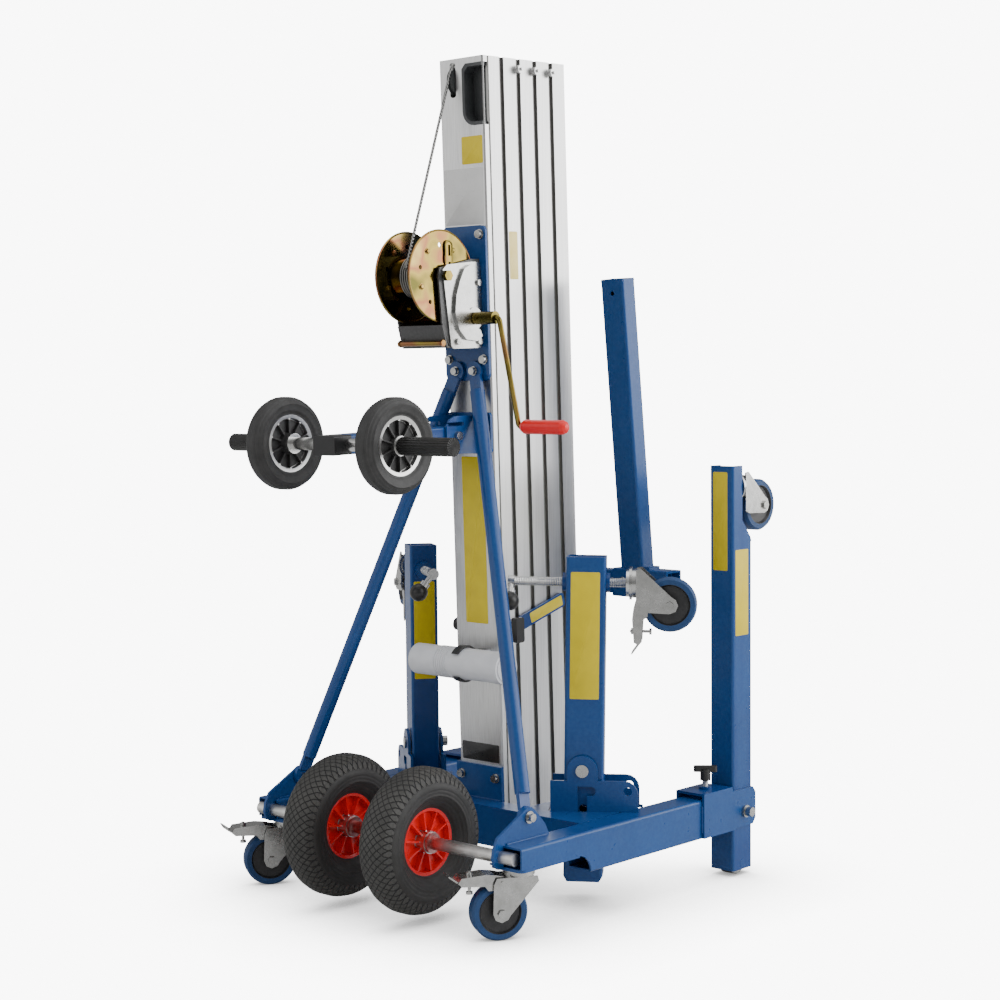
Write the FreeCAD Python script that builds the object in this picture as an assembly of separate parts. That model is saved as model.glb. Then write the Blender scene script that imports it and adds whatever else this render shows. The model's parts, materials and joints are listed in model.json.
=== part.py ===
import FreeCAD, Part
import math
import os

# A hand-cranked material lift, folded for storage, in millimetres.
# +X is the operator's right, +Y is the load side, +Z is up and the floor is z = 0.
# The mast pieces are drawn upright, tilted back together by mast_lean_deg and set at mast_foot_y.

V = FreeCAD.Vector
AXIS_X = V(1, 0, 0)
AXIS_Y = V(0, 1, 0)
AXIS_Z = V(0, 0, 1)

# Fits and clearances
run_gap = 0.05
slide_gap = 0.4
side_gap = 0.3
weld_overlap = 1.0

# Mast
mast_lean_deg = 1.78
mast_foot_y = -12.0
mast_width = 121.0
mast_foot_z = 108.0
mast_top_z = 1712.0
first_section_depth = 57.0
section_pitch = 51.0
moving_sections = 4
section_wall = 4.0
groove_depth = 6.0
groove_width = 6.5
tongue_neck = 24.0
tongue_head = 40.0
tongue_head_thick = 5.0
mast_travel = 1100.0

# Base frame
beam_width = 60.0
beam_height = 82.0
beam_outer_x = 371.0
beam_bottom_z = 102.0
beam_rear_y = -312.0
beam_front_y = 258.0
tube_wall = 4.0
beam_rear_height = 41.0
arch_radius = 38.0
arch_front_y = -109.0
cross_rear_y = -75.0
cross_depth = 50.5
plate_thick = 6.0
caster_plate_front_y = -135.0
foot_plate_thick = 8.0
foot_bolt_x = 48.0
foot_bolt_z = 232.0
foot_plate_rise = 72.0
plate_bolt_radius = 5.0
caster_plate_inner_x = 288.0
gusset_front_y = 142.0
gusset_inner_x = 135.0
gusset_inner_y = 32.0

# Rear axle and pneumatic wheels
axle_radius = 12.5
axle_y = -316.0
axle_z = 162.5
axle_half_length = 359.0
tyre_radius = 144.0
tyre_width = 86.0
tyre_bore_radius = 66.0
rim_width = 62.0
rim_hub_radius = 22.0
wheel_x = 109.0
rim_ribs = 10
rim_rib_thick = 3.5

# Casters
caster_wheel_radius = 55.0
caster_wheel_width = 34.0
caster_core_radius = 41.0
caster_drop = 82.0
caster_trail = 42.0
caster_axle_radius = 5.0
caster_head_radius = 34.0
fork_plate = 3.0
fork_side_gap = 8.0
kingpin_radius = 6.0
kingpin_rise = 5.5
rear_caster_x = 325.0
rear_caster_y = -268.5
rear_caster_turn_right = 32.0
rear_caster_turn_left = 32.0
pedal_pivot_y = -41.0
pedal_pivot_z = -22.0
pedal_pin_radius = 2.5
pedal_play = 0.3
pedal_reach = 143.0

# Strut brackets at the rear of the beams, and the struts
strut_plate_outer_x = 325.0
strut_bolt_y = -239.0
strut_bolt_z = 226.0
strut_top_x = 25.0
strut_top_z = 1077.0
strut_radius = 15.0
strut_flat = 8.0
strut_flat_length = 44.0
strut_eye_radius = 20.0

# Front legs, which fold forward about a bolt in the socket at the end of each beam
leg_size = 60.0
leg_depth = 69.0
front_leg_rear_y = 362.0
front_leg_bottom_z = 13.0
front_leg_top_z = 873.0
front_pivot_z = 139.0
front_pivot_radius = 8.0
front_notch_low_z = 714.0
front_notch_high_z = 758.0
front_caster_z = 828.0
front_roller_radius = 25.5
front_roller_width = 34.0
front_roller_axle = 5.0
socket_plate = 6.0
socket_rear_y = 251.0
socket_top_z = 197.0
socket_gap = 1.5
socket_web_front_y = 354.0
socket_ear_front_y = 435.0
knob_y = 304.0
knob_screw_radius = 6.0
knob_wing_length = 49.0
knob_wing_height = 12.5
knob_turn_deg = -50.0

# Side stabiliser legs, which lift and then fold outward between two plates
stab_x = 228.0
stab_y = 40.0
stab_turn_deg = 36.0
stab_tilt_deg = 0.9
stab_leg_width = 80.0
stab_leg_thick = 60.0
stab_leg_bottom_z = 38.0
stab_leg_top_z = 700.0
stab_wall = 4.0
stab_pin_z = 97.0
stab_pin_radius = 8.0
stab_raised_pin_z = 226.0
stab_lock_z = 267.0
stab_lock_radius = 11.0
stab_plate = 6.0
stab_plate_gap = 3.0
stab_plate_top_z = 247.0
stab_tab_radius = 31.0
stab_plate_inner_u = 65.0
stab_plate_outer_u = 113.0
stab_hole_u = 92.0
stab_sweep_u = 70.0
stab_hole_radius = 17.0
stab_slot_width = 19.0
stab_slot_reach = 27.0
screw_radius = 9.0
screw_z = 647.0
screw_inner_u = 160.0
screw_arm_drop = 38.0
screw_arm_side = 31.0
screw_arm_radius = 6.0
screw_knob_radius = 19.0
stab_caster_plate_u = 87.0

# Winch
winch_plate_thick = 6.0
winch_plate_low_z = 1057.0
winch_plate_high_z = 1372.0
winch_bolts = [(46, 1354), (-46, 1354), (48, 1100), (-48, 1100)]
drum_y = -109.0
drum_z = 1270.0
drum_near_x = 30.0
drum_far_x = -60.0
flange_radius = 92.5
flange_thick = 3.0
drum_core_radius = 38.0
drum_hub_radius = 14.0
drum_shaft_radius = 8.0
clamp_depth = 3.6
crank_y = -33.0
crank_z = 1184.0
crank_shaft_radius = 9.0
drum_gear_radius = 76.0
gear_module = 4.0
gear_width = 7.0
frame_near_x = 42.0
frame_far_x = -84.0
frame_plate = 4.0
frame_low_z = 1126.0
frame_high_z = 1304.0
frame_window_half = 44.0
cover_thick = 8.0
crank_hub_radius = 13.0
crank_hub_outer_x = 107.0
crank_rod_radius = 5.5
crank_rod_x = 116.0
crank_reach = 228.0
crank_angle_deg = 13.0
grip_radius = 14.5
grip_start_x = 124.0
grip_length = 121.0

# Wire rope and the pulley at the mast head
rope_radius = 3.0
rope_wrap_width = 40.0
pulley_x = -22.0
pulley_y = 18.0
pulley_drop = 44.0
pulley_radius = 31.0
pulley_width = 10.0
pulley_pin_radius = 5.0
rope_anchor_z = 190.0

# Transport handle
handle_pivot_y = -80.0
handle_pivot_z = 948.0
handle_bar_y = -375.5
handle_pin_radius = 6.0
handle_bar_radius = 12.5
handle_bar_half = 305.0
arm_width = 60.0
arm_height = 38.0
arm_rear_y = -414.5
handle_grip_radius = 17.5
handle_grip_length = 130.0
handle_wheel_radius = 92.0
handle_wheel_width = 46.0
handle_wheel_x = 153.0
handle_wheel_bore = 12.55
handle_wheel_ribs = 10

# Document tube on the mast
doc_tube_radius = 33.0
doc_tube_left_x = -108.0
doc_tube_right_x = 140.0
doc_clip_x = 22.0
doc_clip_half = 8.0
doc_tube_y = -66.0
doc_tube_z = 479.0

# Carriage, forks and transport lock
bar_height = 50.0
bar_depth = 40.0
bar_y = 311.0
bar_z = 620.0
bar_half = 235.0
sleeve_wall = 5.0
sleeve_inner_x = 108.0
sleeve_outer_x = 254.0
fork_x = 157.0
fork_width = 60.0
fork_depth = 42.0
fork_length = 625.0
fork_lean_deg = 6.0
fork_play = 0.5
lock_pivot_y = 31.0
lock_pivot_z = 541.0
lock_bar_width = 30.0
lock_bar_length = 176.0
lock_rise_deg = 14.5
lock_stud_radius = 6.0

pulley_z = mast_top_z - pulley_drop
nodes = {}


def box(x0, x1, y0, y1, z0, z1):
    low = V(min(x0, x1), min(y0, y1), min(z0, z1))
    return Part.makeBox(abs(x1 - x0), abs(y1 - y0), abs(z1 - z0), low)


def rod(start, end, radius):
    along = end - start
    return Part.makeCylinder(radius, along.Length, start, along)


def rod_x(x0, x1, y, z, radius):
    return rod(V(min(x0, x1), y, z), V(max(x0, x1), y, z), radius)


def fuse(shapes):
    result = shapes[0]
    if len(shapes) > 1:
        result = shapes[0].multiFuse(shapes[1:])
    return result.removeSplitter()


def joined(shapes):
    """Welded pieces that meet face to face: each one gives way to those before it."""
    kept = []
    for shape in shapes:
        rest = shape
        for other in kept:
            if rest.BoundBox.intersect(other.BoundBox):
                rest = rest.cut(other)
        kept += rest.Solids
    return Part.makeCompound(kept)


def wire_of(points):
    return Part.makePolygon(points + [points[0]])


def slab(points, direction):
    return Part.Face(wire_of(points)).extrude(direction)


def slab_x(points_yz, x0, x1):
    points = [V(x0, y, z) for y, z in points_yz]
    return slab(points, V(x1 - x0, 0, 0))


def slab_z(points_xy, z0, z1):
    points = [V(x, y, z0) for x, y in points_xy]
    return slab(points, V(0, 0, z1 - z0))


def slab_y(points_xz, y0, y1):
    points = [V(x, y0, z) for x, z in points_xz]
    return slab(points, V(0, y1 - y0, 0))


def turned(shape, centre, axis, degrees):
    result = shape.copy()
    result.rotate(centre, axis, degrees)
    return result


def moved(shape, x, y, z):
    result = shape.copy()
    result.translate(V(x, y, z))
    return result


def mirrored(shape):
    return shape.mirror(V(0, 0, 0), AXIS_X)


def leaned(shape):
    return moved(turned(shape, V(0, 0, 0), AXIS_X, mast_lean_deg), 0, mast_foot_y, 0)


def leaned_way(x, y, z):
    turn = FreeCAD.Rotation(AXIS_X, mast_lean_deg)
    return turn.multVec(V(x, y, z))


def leaned_point(x, y, z):
    return leaned_way(x, y, z) + V(0, mast_foot_y, 0)


def round_edges(shape, radius, pick):
    edges = [edge for edge in shape.Edges if pick(edge)]
    return shape.makeFillet(radius, edges) if edges else shape


def along(edge, axis):
    first = edge.Vertexes[0].Point
    last = edge.Vertexes[-1].Point
    span = last - first
    return span.Length > 0.01 and abs(span.normalize().dot(axis)) > 0.999


def square_tube(width, depth, length, wall, corner):
    outer = box(-width / 2, width / 2, -depth / 2, depth / 2, 0, length)
    outer = round_edges(outer, corner, lambda e: along(e, AXIS_Z))
    inner = box(-width / 2 + wall, width / 2 - wall, -depth / 2 + wall, depth / 2 - wall, -1, length + 1)
    return outer.cut(inner)


def ring_x(x0, x1, y, z, outer, inner):
    return rod_x(x0, x1, y, z, outer).cut(rod_x(min(x0, x1) - 1, max(x0, x1) + 1, y, z, inner))


def hex_x(x0, x1, y, z, across):
    radius = across / math.sqrt(3.0)
    points = []
    for step in range(6):
        angle = math.radians(60 * step)
        points.append((y + radius * math.cos(angle), z + radius * math.sin(angle)))
    return slab_x(points, x0, x1)


def bolt_rear(x, y, z, shank, head, length):
    """A bolt whose head and washer sit on a face that looks to -Y."""
    washer = rod(V(x, y - 2, z), V(x, y, z), head * 1.25)
    nut = rod(V(x, y - 9, z), V(x, y - 2, z), head)
    stem = rod(V(x, y - 2, z), V(x, y + length, z), shank)
    return fuse([washer, nut, stem])


# Mast sections

gap = slide_gap
section_depth = section_pitch - gap
half_width = mast_width / 2.0
lip = section_wall
slot_depth = lip + 2 * gap + tongue_head_thick
tongue_reach = 2 * gap + lip + tongue_head_thick


def section_profile(rear_y, depth, with_slot, with_tongue):
    w = half_width
    r = groove_depth
    s = groove_width
    y0 = rear_y
    y1 = rear_y + depth
    half = []
    if with_slot:
        half += [
            (0, y0 + slot_depth),
            (tongue_head / 2 + gap, y0 + slot_depth),
            (tongue_head / 2 + gap, y0 + lip),
            (tongue_neck / 2 + gap, y0 + lip),
            (tongue_neck / 2 + gap, y0),
        ]
    else:
        half += [(0, y0)]
    if with_slot:
        half += [(w - r, y0), (w - r, y0 + s), (w, y0 + s)]
    else:
        half += [(w - 3, y0), (w, y0 + 3), (w, y0 + 14), (w - 2.5, y0 + 15), (w - 2.5, y0 + 18), (w, y0 + 19)]
    half += [(w, y1 - s), (w - r, y1 - s), (w - r, y1)]
    if with_tongue:
        half += [
            (tongue_neck / 2, y1),
            (tongue_neck / 2, y1 + tongue_reach - tongue_head_thick),
            (tongue_head / 2, y1 + tongue_reach - tongue_head_thick),
            (tongue_head / 2, y1 + tongue_reach),
            (0, y1 + tongue_reach),
        ]
    else:
        half += [(0, y1)]
    left = [(-x, y) for x, y in reversed(half) if x > 0]
    return half + left


def section_hollow(rear_y, depth, with_slot):
    w = half_width
    y0 = rear_y + (slot_depth if with_slot else 0) + section_wall
    y1 = rear_y + depth - section_wall
    step = rear_y + depth - groove_width - section_wall
    right = [(w - section_wall, y0), (w - section_wall, step)]
    front = [(w - groove_depth - section_wall, step), (w - groove_depth - section_wall, y1)]
    half = right + front
    return half + [(-x, y) for x, y in reversed(half)]


def mast_section(rear_y, depth, with_slot, with_tongue, low_z):
    body = slab_z(section_profile(rear_y, depth, with_slot, with_tongue), low_z, mast_top_z)
    hollow = slab_z(section_hollow(rear_y, depth, with_slot), low_z - 1, mast_top_z + 1)
    return body.cut(hollow)


def section_rear_y(index):
    return first_section_depth + gap + index * section_pitch


def head_bolt(index):
    """The stop bolt with its nut and spacer at the top of a section's side groove."""
    y = section_rear_y(index) + section_depth - groove_width / 2
    z = mast_top_z - 22
    x = half_width - groove_depth - 1
    stem = rod_x(x, half_width + 16, y, z, 3.2)
    spacer = rod_x(half_width - groove_depth, half_width + 6, y, z, 5)
    nut = rod_x(half_width + 6, half_width + 12, y, z, 9)
    return [fuse([stem, spacer, nut])]


grip_hole_high_z = mast_top_z - 13.0
grip_hole_low_z = grip_hole_high_z - 125.0
grip_wall = 7.0


def grip_outline(inset):
    """D shape with its straight side at the mast's right edge."""
    x_left = 4.0 + inset
    x_right = half_width - 2.0
    low = grip_hole_low_z + inset
    high = grip_hole_high_z - inset
    sweep = 30.0 - inset
    points = [(x_right, low), (x_right, high), (x_left + 10, high), (x_left, high - 10)]
    for step in range(0, 7):
        angle = math.radians(180 + 15 * step)
        points.append((x_left + sweep + sweep * math.cos(angle), low + sweep + sweep * math.sin(angle)))
    return points


pulley_slot_half_x = pulley_width / 2 + 3
pulley_slot_low_z = pulley_z - 34.0
pulley_slot_high_z = pulley_z + 36.0


def first_section():
    body = mast_section(0, first_section_depth, False, True, mast_foot_z)
    slot_x0 = pulley_x - pulley_slot_half_x
    slot_x1 = pulley_x + pulley_slot_half_x
    slot = box(slot_x0, slot_x1, -1, section_wall + 1, pulley_slot_low_z, pulley_slot_high_z)
    slot = round_edges(slot, 6, lambda e: along(e, AXIS_Y))
    grip = slab_y(grip_outline(0), -1, section_wall + 1)
    side = box(half_width - section_wall - 1, half_width + 1, 3.5, 14, grip_hole_low_z, grip_hole_high_z)
    cheek_inner = pulley_width / 2 + 1
    cheeks = []
    for side_x in (-1, 1):
        x0 = pulley_x + side_x * cheek_inner
        cheek = box(x0, x0 + side_x * 2, section_wall - 0.5, first_section_depth - section_wall + 0.5,
                    pulley_z - 25, pulley_z + 25)
        cheeks.append(cheek.cut(rod_x(x0 - 4, x0 + 4, pulley_y, pulley_z, pulley_pin_radius)))
    body = body.cut(slot).cut(grip).cut(side)
    spots = [(-foot_bolt_x, foot_bolt_z), (foot_bolt_x, foot_bolt_z)] + winch_bolts
    spots += [(-strut_top_x, strut_top_z), (strut_top_x, strut_top_z)]
    for x, z in spots:
        body = body.cut(rod(V(x, -1, z), V(x, 12, z), plate_bolt_radius))
    body = body.cut(rod_x(-half_width - 1, half_width + 1, lock_pivot_y, lock_pivot_z, lock_stud_radius + run_gap))
    return fuse([body] + cheeks)


def mast_grip():
    outer = slab_y(grip_outline(0), -1.5, 30)
    inner = slab_y(grip_outline(grip_wall), -3, 27)
    cup = outer.cut(inner)
    # The cup stays inside the mast's own hollow, left of its side wall.
    low = grip_hole_low_z - 1
    high = grip_hole_high_z + 1
    keep = box(-half_width, half_width - section_wall, section_wall, 60, low, high)
    rim = box(-half_width, half_width, -5, section_wall, low, high)
    return fuse([cup.common(keep), cup.common(rim)])


def add(name, shape):
    nodes[name] = shape


add("mast_section_1", leaned(first_section()))
for number in range(moving_sections):
    is_last = number == moving_sections - 1
    section = mast_section(section_rear_y(number), section_depth, True, not is_last, mast_foot_z + 4)
    pieces = [section]
    if not is_last:
        pieces += head_bolt(number)
    add("mast_section_%d" % (number + 2), leaned(fuse(pieces)))
add("mast_grip", leaned(mast_grip()))

# Base frame

beam_inner_x = beam_outer_x - beam_width
beam_mid_x = beam_outer_x - beam_width / 2
beam_top_z = beam_bottom_z + beam_height
leg_gap = 0.5
pivot_y = front_leg_rear_y + leg_depth / 2
rear_low_z = beam_top_z - beam_rear_height


def tube_y(x, width, height, y0, y1, z0, wall, corner):
    outer = box(x - width / 2, x + width / 2, y0, y1, z0, z0 + height)
    outer = round_edges(outer, corner, lambda e: along(e, AXIS_Y))
    inner = box(x - width / 2 + wall, x + width / 2 - wall, y0 - 1, y1 + 1, z0 + wall, z0 + height - wall)
    return outer.cut(inner)


def side_beam():
    """Square tube with a low rear end and an arch for the caster, drawn in lengths along the arch."""
    beam = tube_y(beam_mid_x, beam_width, beam_height, beam_rear_y, beam_front_y, beam_bottom_z, tube_wall, 6)
    arch_y = arch_front_y - arch_radius
    cut_x0 = beam_inner_x - 1
    cut_x1 = beam_outer_x + 1
    beam = beam.cut(box(cut_x0, cut_x1, beam_rear_y - 1, arch_y, beam_bottom_z - 1, rear_low_z))
    beam = beam.cut(rod_x(cut_x0, cut_x1, arch_y, beam_bottom_z, arch_radius))
    beam = beam.cut(rod_x(cut_x0, beam_mid_x, axle_y, axle_z, axle_radius + 2))
    steps = [beam_rear_y] + [arch_front_y - arch_radius * share for share in (1, 0.66, 0.4, 0.2, 0.08)]
    steps.append(beam_front_y)
    lengths = []
    for y0, y1 in zip(steps, steps[1:]):
        lengths += beam.common(box(cut_x0, cut_x1, y0, y1, beam_bottom_z - 1, beam_top_z + 1)).Solids
    plate = box(caster_plate_inner_x, beam_outer_x, beam_rear_y, caster_plate_front_y,
                rear_low_z - plate_thick, rear_low_z)
    plate = round_edges(plate, 12, lambda e: along(e, AXIS_Z))
    low = rear_low_z - plate_thick - 1
    hole = rod(V(rear_caster_x, rear_caster_y, low), V(rear_caster_x, rear_caster_y, low + 20),
               kingpin_radius + run_gap)
    return lengths + [plate.cut(hole)]


def beam_block():
    """The beam's outer shape without its hollow."""
    low_end = box(beam_inner_x, beam_outer_x, beam_rear_y, beam_front_y, rear_low_z - plate_thick, beam_top_z)
    high_end = box(beam_inner_x, beam_outer_x, arch_front_y - arch_radius, beam_front_y, beam_bottom_z, beam_top_z)
    return low_end.fuse(high_end)


def strut_bracket():
    """Plate on the beam that holds the strut's bolt above and the axle behind."""
    x1 = strut_plate_outer_x
    x0 = x1 - plate_thick
    points = [
        (beam_rear_y + 1, rear_low_z - 3),
        (axle_y - 10, axle_z - 22),
        (axle_y - 20, axle_z - 14),
        (axle_y - 25, axle_z),
        (axle_y - 22, axle_z + 17),
        (axle_y - 11, axle_z + 38),
        (strut_bolt_y - 16, strut_bolt_z + 12),
        (strut_bolt_y - 6, strut_bolt_z + 18),
        (strut_bolt_y + 8, strut_bolt_z + 18),
        (strut_bolt_y + 20, strut_bolt_z + 9),
        (strut_bolt_y + 47, beam_top_z + 22),
        (strut_bolt_y + 60, beam_top_z - 2),
        (beam_rear_y + 1, beam_top_z - 2),
    ]
    plate = slab_x(points, x0, x1).cut(beam_block())
    plate = plate.cut(rod_x(x0 - 1, x1 + 1, axle_y, axle_z, axle_radius))
    return plate.cut(rod_x(x0 - 1, x1 + 1, strut_bolt_y, strut_bolt_z, plate_bolt_radius))


def leg_socket():
    """Upside-down U at the front of a beam, with ears for the leg's bolt."""
    inner_x0 = beam_inner_x - leg_gap
    inner_x1 = beam_outer_x + leg_gap
    low_z = beam_bottom_z + 2
    ear_low = front_pivot_z - 32
    ear_high = front_pivot_z + 48
    side_points = [
        (socket_rear_y, low_z),
        (front_leg_rear_y, low_z),
        (front_leg_rear_y + 2, ear_low),
        (socket_ear_front_y - 10, ear_low),
        (socket_ear_front_y, ear_low + 12),
        (socket_ear_front_y, ear_high - 12),
        (socket_ear_front_y - 10, ear_high),
        (socket_web_front_y, ear_high),
        (socket_web_front_y - 4, socket_top_z),
        (socket_rear_y, socket_top_z),
    ]
    parts = []
    sides = ((inner_x0 - socket_plate, inner_x0, beam_inner_x), (inner_x1, inner_x1 + socket_plate, beam_outer_x))
    for x0, x1, beam_face in sides:
        side = slab_x(side_points, x0, x1)
        weld = box((x0 + x1) / 2, beam_face, socket_rear_y, beam_front_y, low_z + 10, beam_top_z - 10)
        side = side.cut(rod_x(x0 - 1, x1 + 1, pivot_y, front_pivot_z, front_pivot_radius))
        parts.append(side.fuse(weld).removeSplitter())
    web = box(inner_x0, inner_x1, socket_rear_y, socket_web_front_y - 4, socket_top_z - 5, socket_top_z)
    boss = rod(V(beam_mid_x, knob_y, socket_top_z - 1), V(beam_mid_x, knob_y, socket_top_z + 5), 14)
    hole = rod(V(beam_mid_x, knob_y, socket_top_z - 50), V(beam_mid_x, knob_y, socket_top_z + 50),
               knob_screw_radius + run_gap)
    parts.append(web.fuse(boss).removeSplitter().cut(hole))
    return parts


stab_rad = math.radians(stab_turn_deg)
stab_tilt = math.tan(math.radians(stab_tilt_deg))


def in_stab_frame(shape):
    """From the leg's own frame (u outward, n to the rear, z up) to the right-hand leg's place."""
    result = turned(shape, V(0, 0, 0), AXIS_Z, stab_turn_deg)
    return moved(result, stab_x, stab_y, 0)


def tilted(shape):
    return turned(shape, V(0, 0, stab_pin_z), AXIS_Y, stab_tilt_deg)


plate_in = stab_leg_thick / 2 + stab_plate_gap
plate_out = plate_in + stab_plate


def stab_channel():
    """Two profiled plates that guide a stabiliser leg."""
    low = beam_bottom_z
    top = stab_plate_top_z
    outer = stab_plate_outer_u
    inner = -stab_plate_inner_u
    tab_z = stab_lock_z
    pieces = []
    profile = [(inner, low + 28), (inner, top), (-stab_tab_radius, top), (-stab_tab_radius, tab_z)]
    for step in range(1, 12):
        angle = math.radians(180 - 15 * step)
        profile.append((stab_tab_radius * math.cos(angle), tab_z + stab_tab_radius * math.sin(angle)))
    profile += [(stab_tab_radius, tab_z), (stab_tab_radius, top), (outer - 28, top)]
    for step in range(1, 4):
        angle = math.radians(90 - 22.5 * step)
        profile.append((outer - 28 + 28 * math.cos(angle), top - 28 + 28 * math.sin(angle)))
    profile += [(outer, top - 28), (outer, beam_top_z - 1), (outer - 26, beam_top_z - 1)]
    profile += [(outer - 40, low), (inner + 30, low)]
    slot_half = stab_slot_width / 2
    slot_top = stab_raised_pin_z + slot_half
    slot = box(-slot_half, slot_half, -60, 60, low - 5, slot_top)
    hook = box(-slot_half, stab_slot_reach, -60, 60, slot_top - stab_slot_width, slot_top)
    hook = round_edges(hook, slot_half - 0.5, lambda e: along(e, AXIS_Y) and e.CenterOfMass.x > 0)
    hole = rod(V(stab_hole_u, -60, stab_raised_pin_z), V(stab_hole_u, 60, stab_raised_pin_z), stab_hole_radius / 2)
    pin_hole = rod(V(0, -60, tab_z), V(0, 60, tab_z), stab_lock_radius)
    for y0, y1 in ((-plate_out, -plate_in), (plate_in, plate_out)):
        plate = slab_y(profile, y0, y1).cut(slot.fuse(hook)).cut(hole).cut(pin_hole)
        pieces.append(plate)
    return [in_stab_frame(piece) for piece in pieces]


def gusset():
    """Flat plate in the corner between the cross tube and the beam, open for the leg's channel."""
    rear_y = cross_rear_y + cross_depth
    points = [
        (beam_inner_x, rear_y),
        (beam_inner_x, gusset_front_y),
        (stab_x + 10, gusset_front_y),
        (gusset_inner_x, gusset_inner_y),
        (gusset_inner_x, rear_y),
    ]
    plate = slab_z(points, beam_top_z - 6, beam_top_z)
    around = [box(-400, 400, plate_out, 400, 0, 400), box(-400, 400, -400, -plate_out, 0, 400),
              box(-400, -stab_sweep_u, -plate_out, plate_out, 0, 400)]
    pieces = []
    for region in around:
        pieces += plate.common(in_stab_frame(region)).Solids
    return pieces


cross_front_y = cross_rear_y + cross_depth


def cross_tube():
    outer = box(-beam_inner_x, beam_inner_x, cross_rear_y, cross_front_y, beam_bottom_z, beam_top_z)
    inner = box(-beam_inner_x - 1, beam_inner_x + 1, cross_rear_y + tube_wall, cross_front_y - tube_wall,
                beam_bottom_z + tube_wall, beam_top_z - tube_wall)
    return outer.cut(inner)


def base_frame():
    block = beam_block()
    cross_block = box(0, beam_inner_x, cross_rear_y, cross_front_y, beam_bottom_z, beam_top_z)
    channel = [piece.cut(block).cut(cross_block) for piece in stab_channel()]
    right = side_beam() + [strut_bracket()] + leg_socket() + channel + gusset()
    left = [mirrored(shape) for shape in right]
    foot_plate = leaned(box(-63, 63, -foot_plate_thick, 0, beam_bottom_z + 10, beam_top_z + foot_plate_rise))
    for x in (-foot_bolt_x, foot_bolt_x):
        foot_plate = foot_plate.cut(leaned(rod(V(x, -20, foot_bolt_z), V(x, 5, foot_bolt_z), plate_bolt_radius)))
    shelf = box(-100, 100, cross_front_y, 40, beam_bottom_z, beam_bottom_z + 4)
    return joined([cross_tube()] + right + left + [shelf, foot_plate])


add("base_frame", base_frame())

# Rear axle with its pins, and the pneumatic wheels


def rear_axle():
    shaft = rod_x(-axle_half_length, axle_half_length, axle_y, axle_z, axle_radius)
    parts = [shaft]
    for side in (-1, 1):
        hub_outer = side * (wheel_x + rim_width / 2 + side_gap)
        parts.append(ring_x(hub_outer, hub_outer + side * 6, axle_y, axle_z, 20, axle_radius - 1))
        hub_inner = side * (wheel_x - rim_width / 2 - side_gap)
        parts.append(ring_x(hub_inner, hub_inner - side * 6, axle_y, axle_z, 20, axle_radius - 1))
    return fuse(parts)


def revolve_x(points_rx, centre_y, centre_z):
    """Revolve a closed outline of (radius, x) points about an X axis."""
    points = [V(x, centre_y, centre_z + radius) for radius, x in points_rx]
    face = Part.Face(wire_of(points))
    return face.revolve(V(0, centre_y, centre_z), AXIS_X, 360)


def tyre(centre_x):
    half = tyre_width / 2
    inner = rim_width / 2 - 8
    r0 = tyre_bore_radius
    r1 = tyre_radius
    outline = [
        (r0, -inner), (r0 + 8, -half + 12), (r0 + 26, -half), (r1 - 34, -half), (r1 - 12, -half + 9),
        (r1 - 3, -half + 22), (r1, -10), (r1, 10), (r1 - 3, half - 22), (r1 - 12, half - 9),
        (r1 - 34, half), (r0 + 26, half), (r0 + 8, half - 12), (r0, inner),
    ]
    return revolve_x([(r, centre_x + x) for r, x in outline], axle_y, axle_z)


def rim(centre_x):
    half = rim_width / 2
    r = tyre_bore_radius
    bore = axle_radius + run_gap
    hub = rim_hub_radius
    web = 8.0
    outline = [
        (bore, -half), (hub, -half), (hub, -web), (r - 8, -web), (r - 6, -half + 10), (r, -half + 8),
        (r, half - 8), (r - 6, half - 10), (r - 8, web), (hub, web), (hub, half), (bore, half),
    ]
    body = revolve_x([(radius, centre_x + x) for radius, x in outline], axle_y, axle_z)
    ribs = []
    for step in range(rim_ribs):
        rib = box(centre_x - half + 10, centre_x + half - 10, axle_y - rim_rib_thick / 2,
                  axle_y + rim_rib_thick / 2, axle_z + hub - 2, axle_z + r - 7)
        ribs.append(turned(rib, V(0, axle_y, axle_z), AXIS_X, 360.0 / rim_ribs * step + 9))
    return fuse([body] + ribs)


add("rear_axle", rear_axle())
for side_name, side in (("right", 1), ("left", -1)):
    add("wheel_tyre_" + side_name, tyre(side * wheel_x))
    add("wheel_rim_" + side_name, rim(side * wheel_x))

# Casters, drawn hanging from a plate at z = 0 with the wheel trailing to -Y


def caster_wheel():
    half = caster_wheel_width / 2
    r = caster_wheel_radius
    c = caster_core_radius
    bore = caster_axle_radius + run_gap
    outline = [
        (bore, -half - 2), (13, -half - 2), (14, -half + 5), (c - 3, -half + 5), (c, -half), (r - 4, -half),
        (r, -half + 6), (r, half - 6), (r - 4, half), (c, half), (c - 3, half - 5), (14, half - 5),
        (13, half + 2), (bore, half + 2),
    ]
    wheel = revolve_x(outline, 0, 0)
    return moved(wheel, 0, -caster_trail, -caster_drop)


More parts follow.
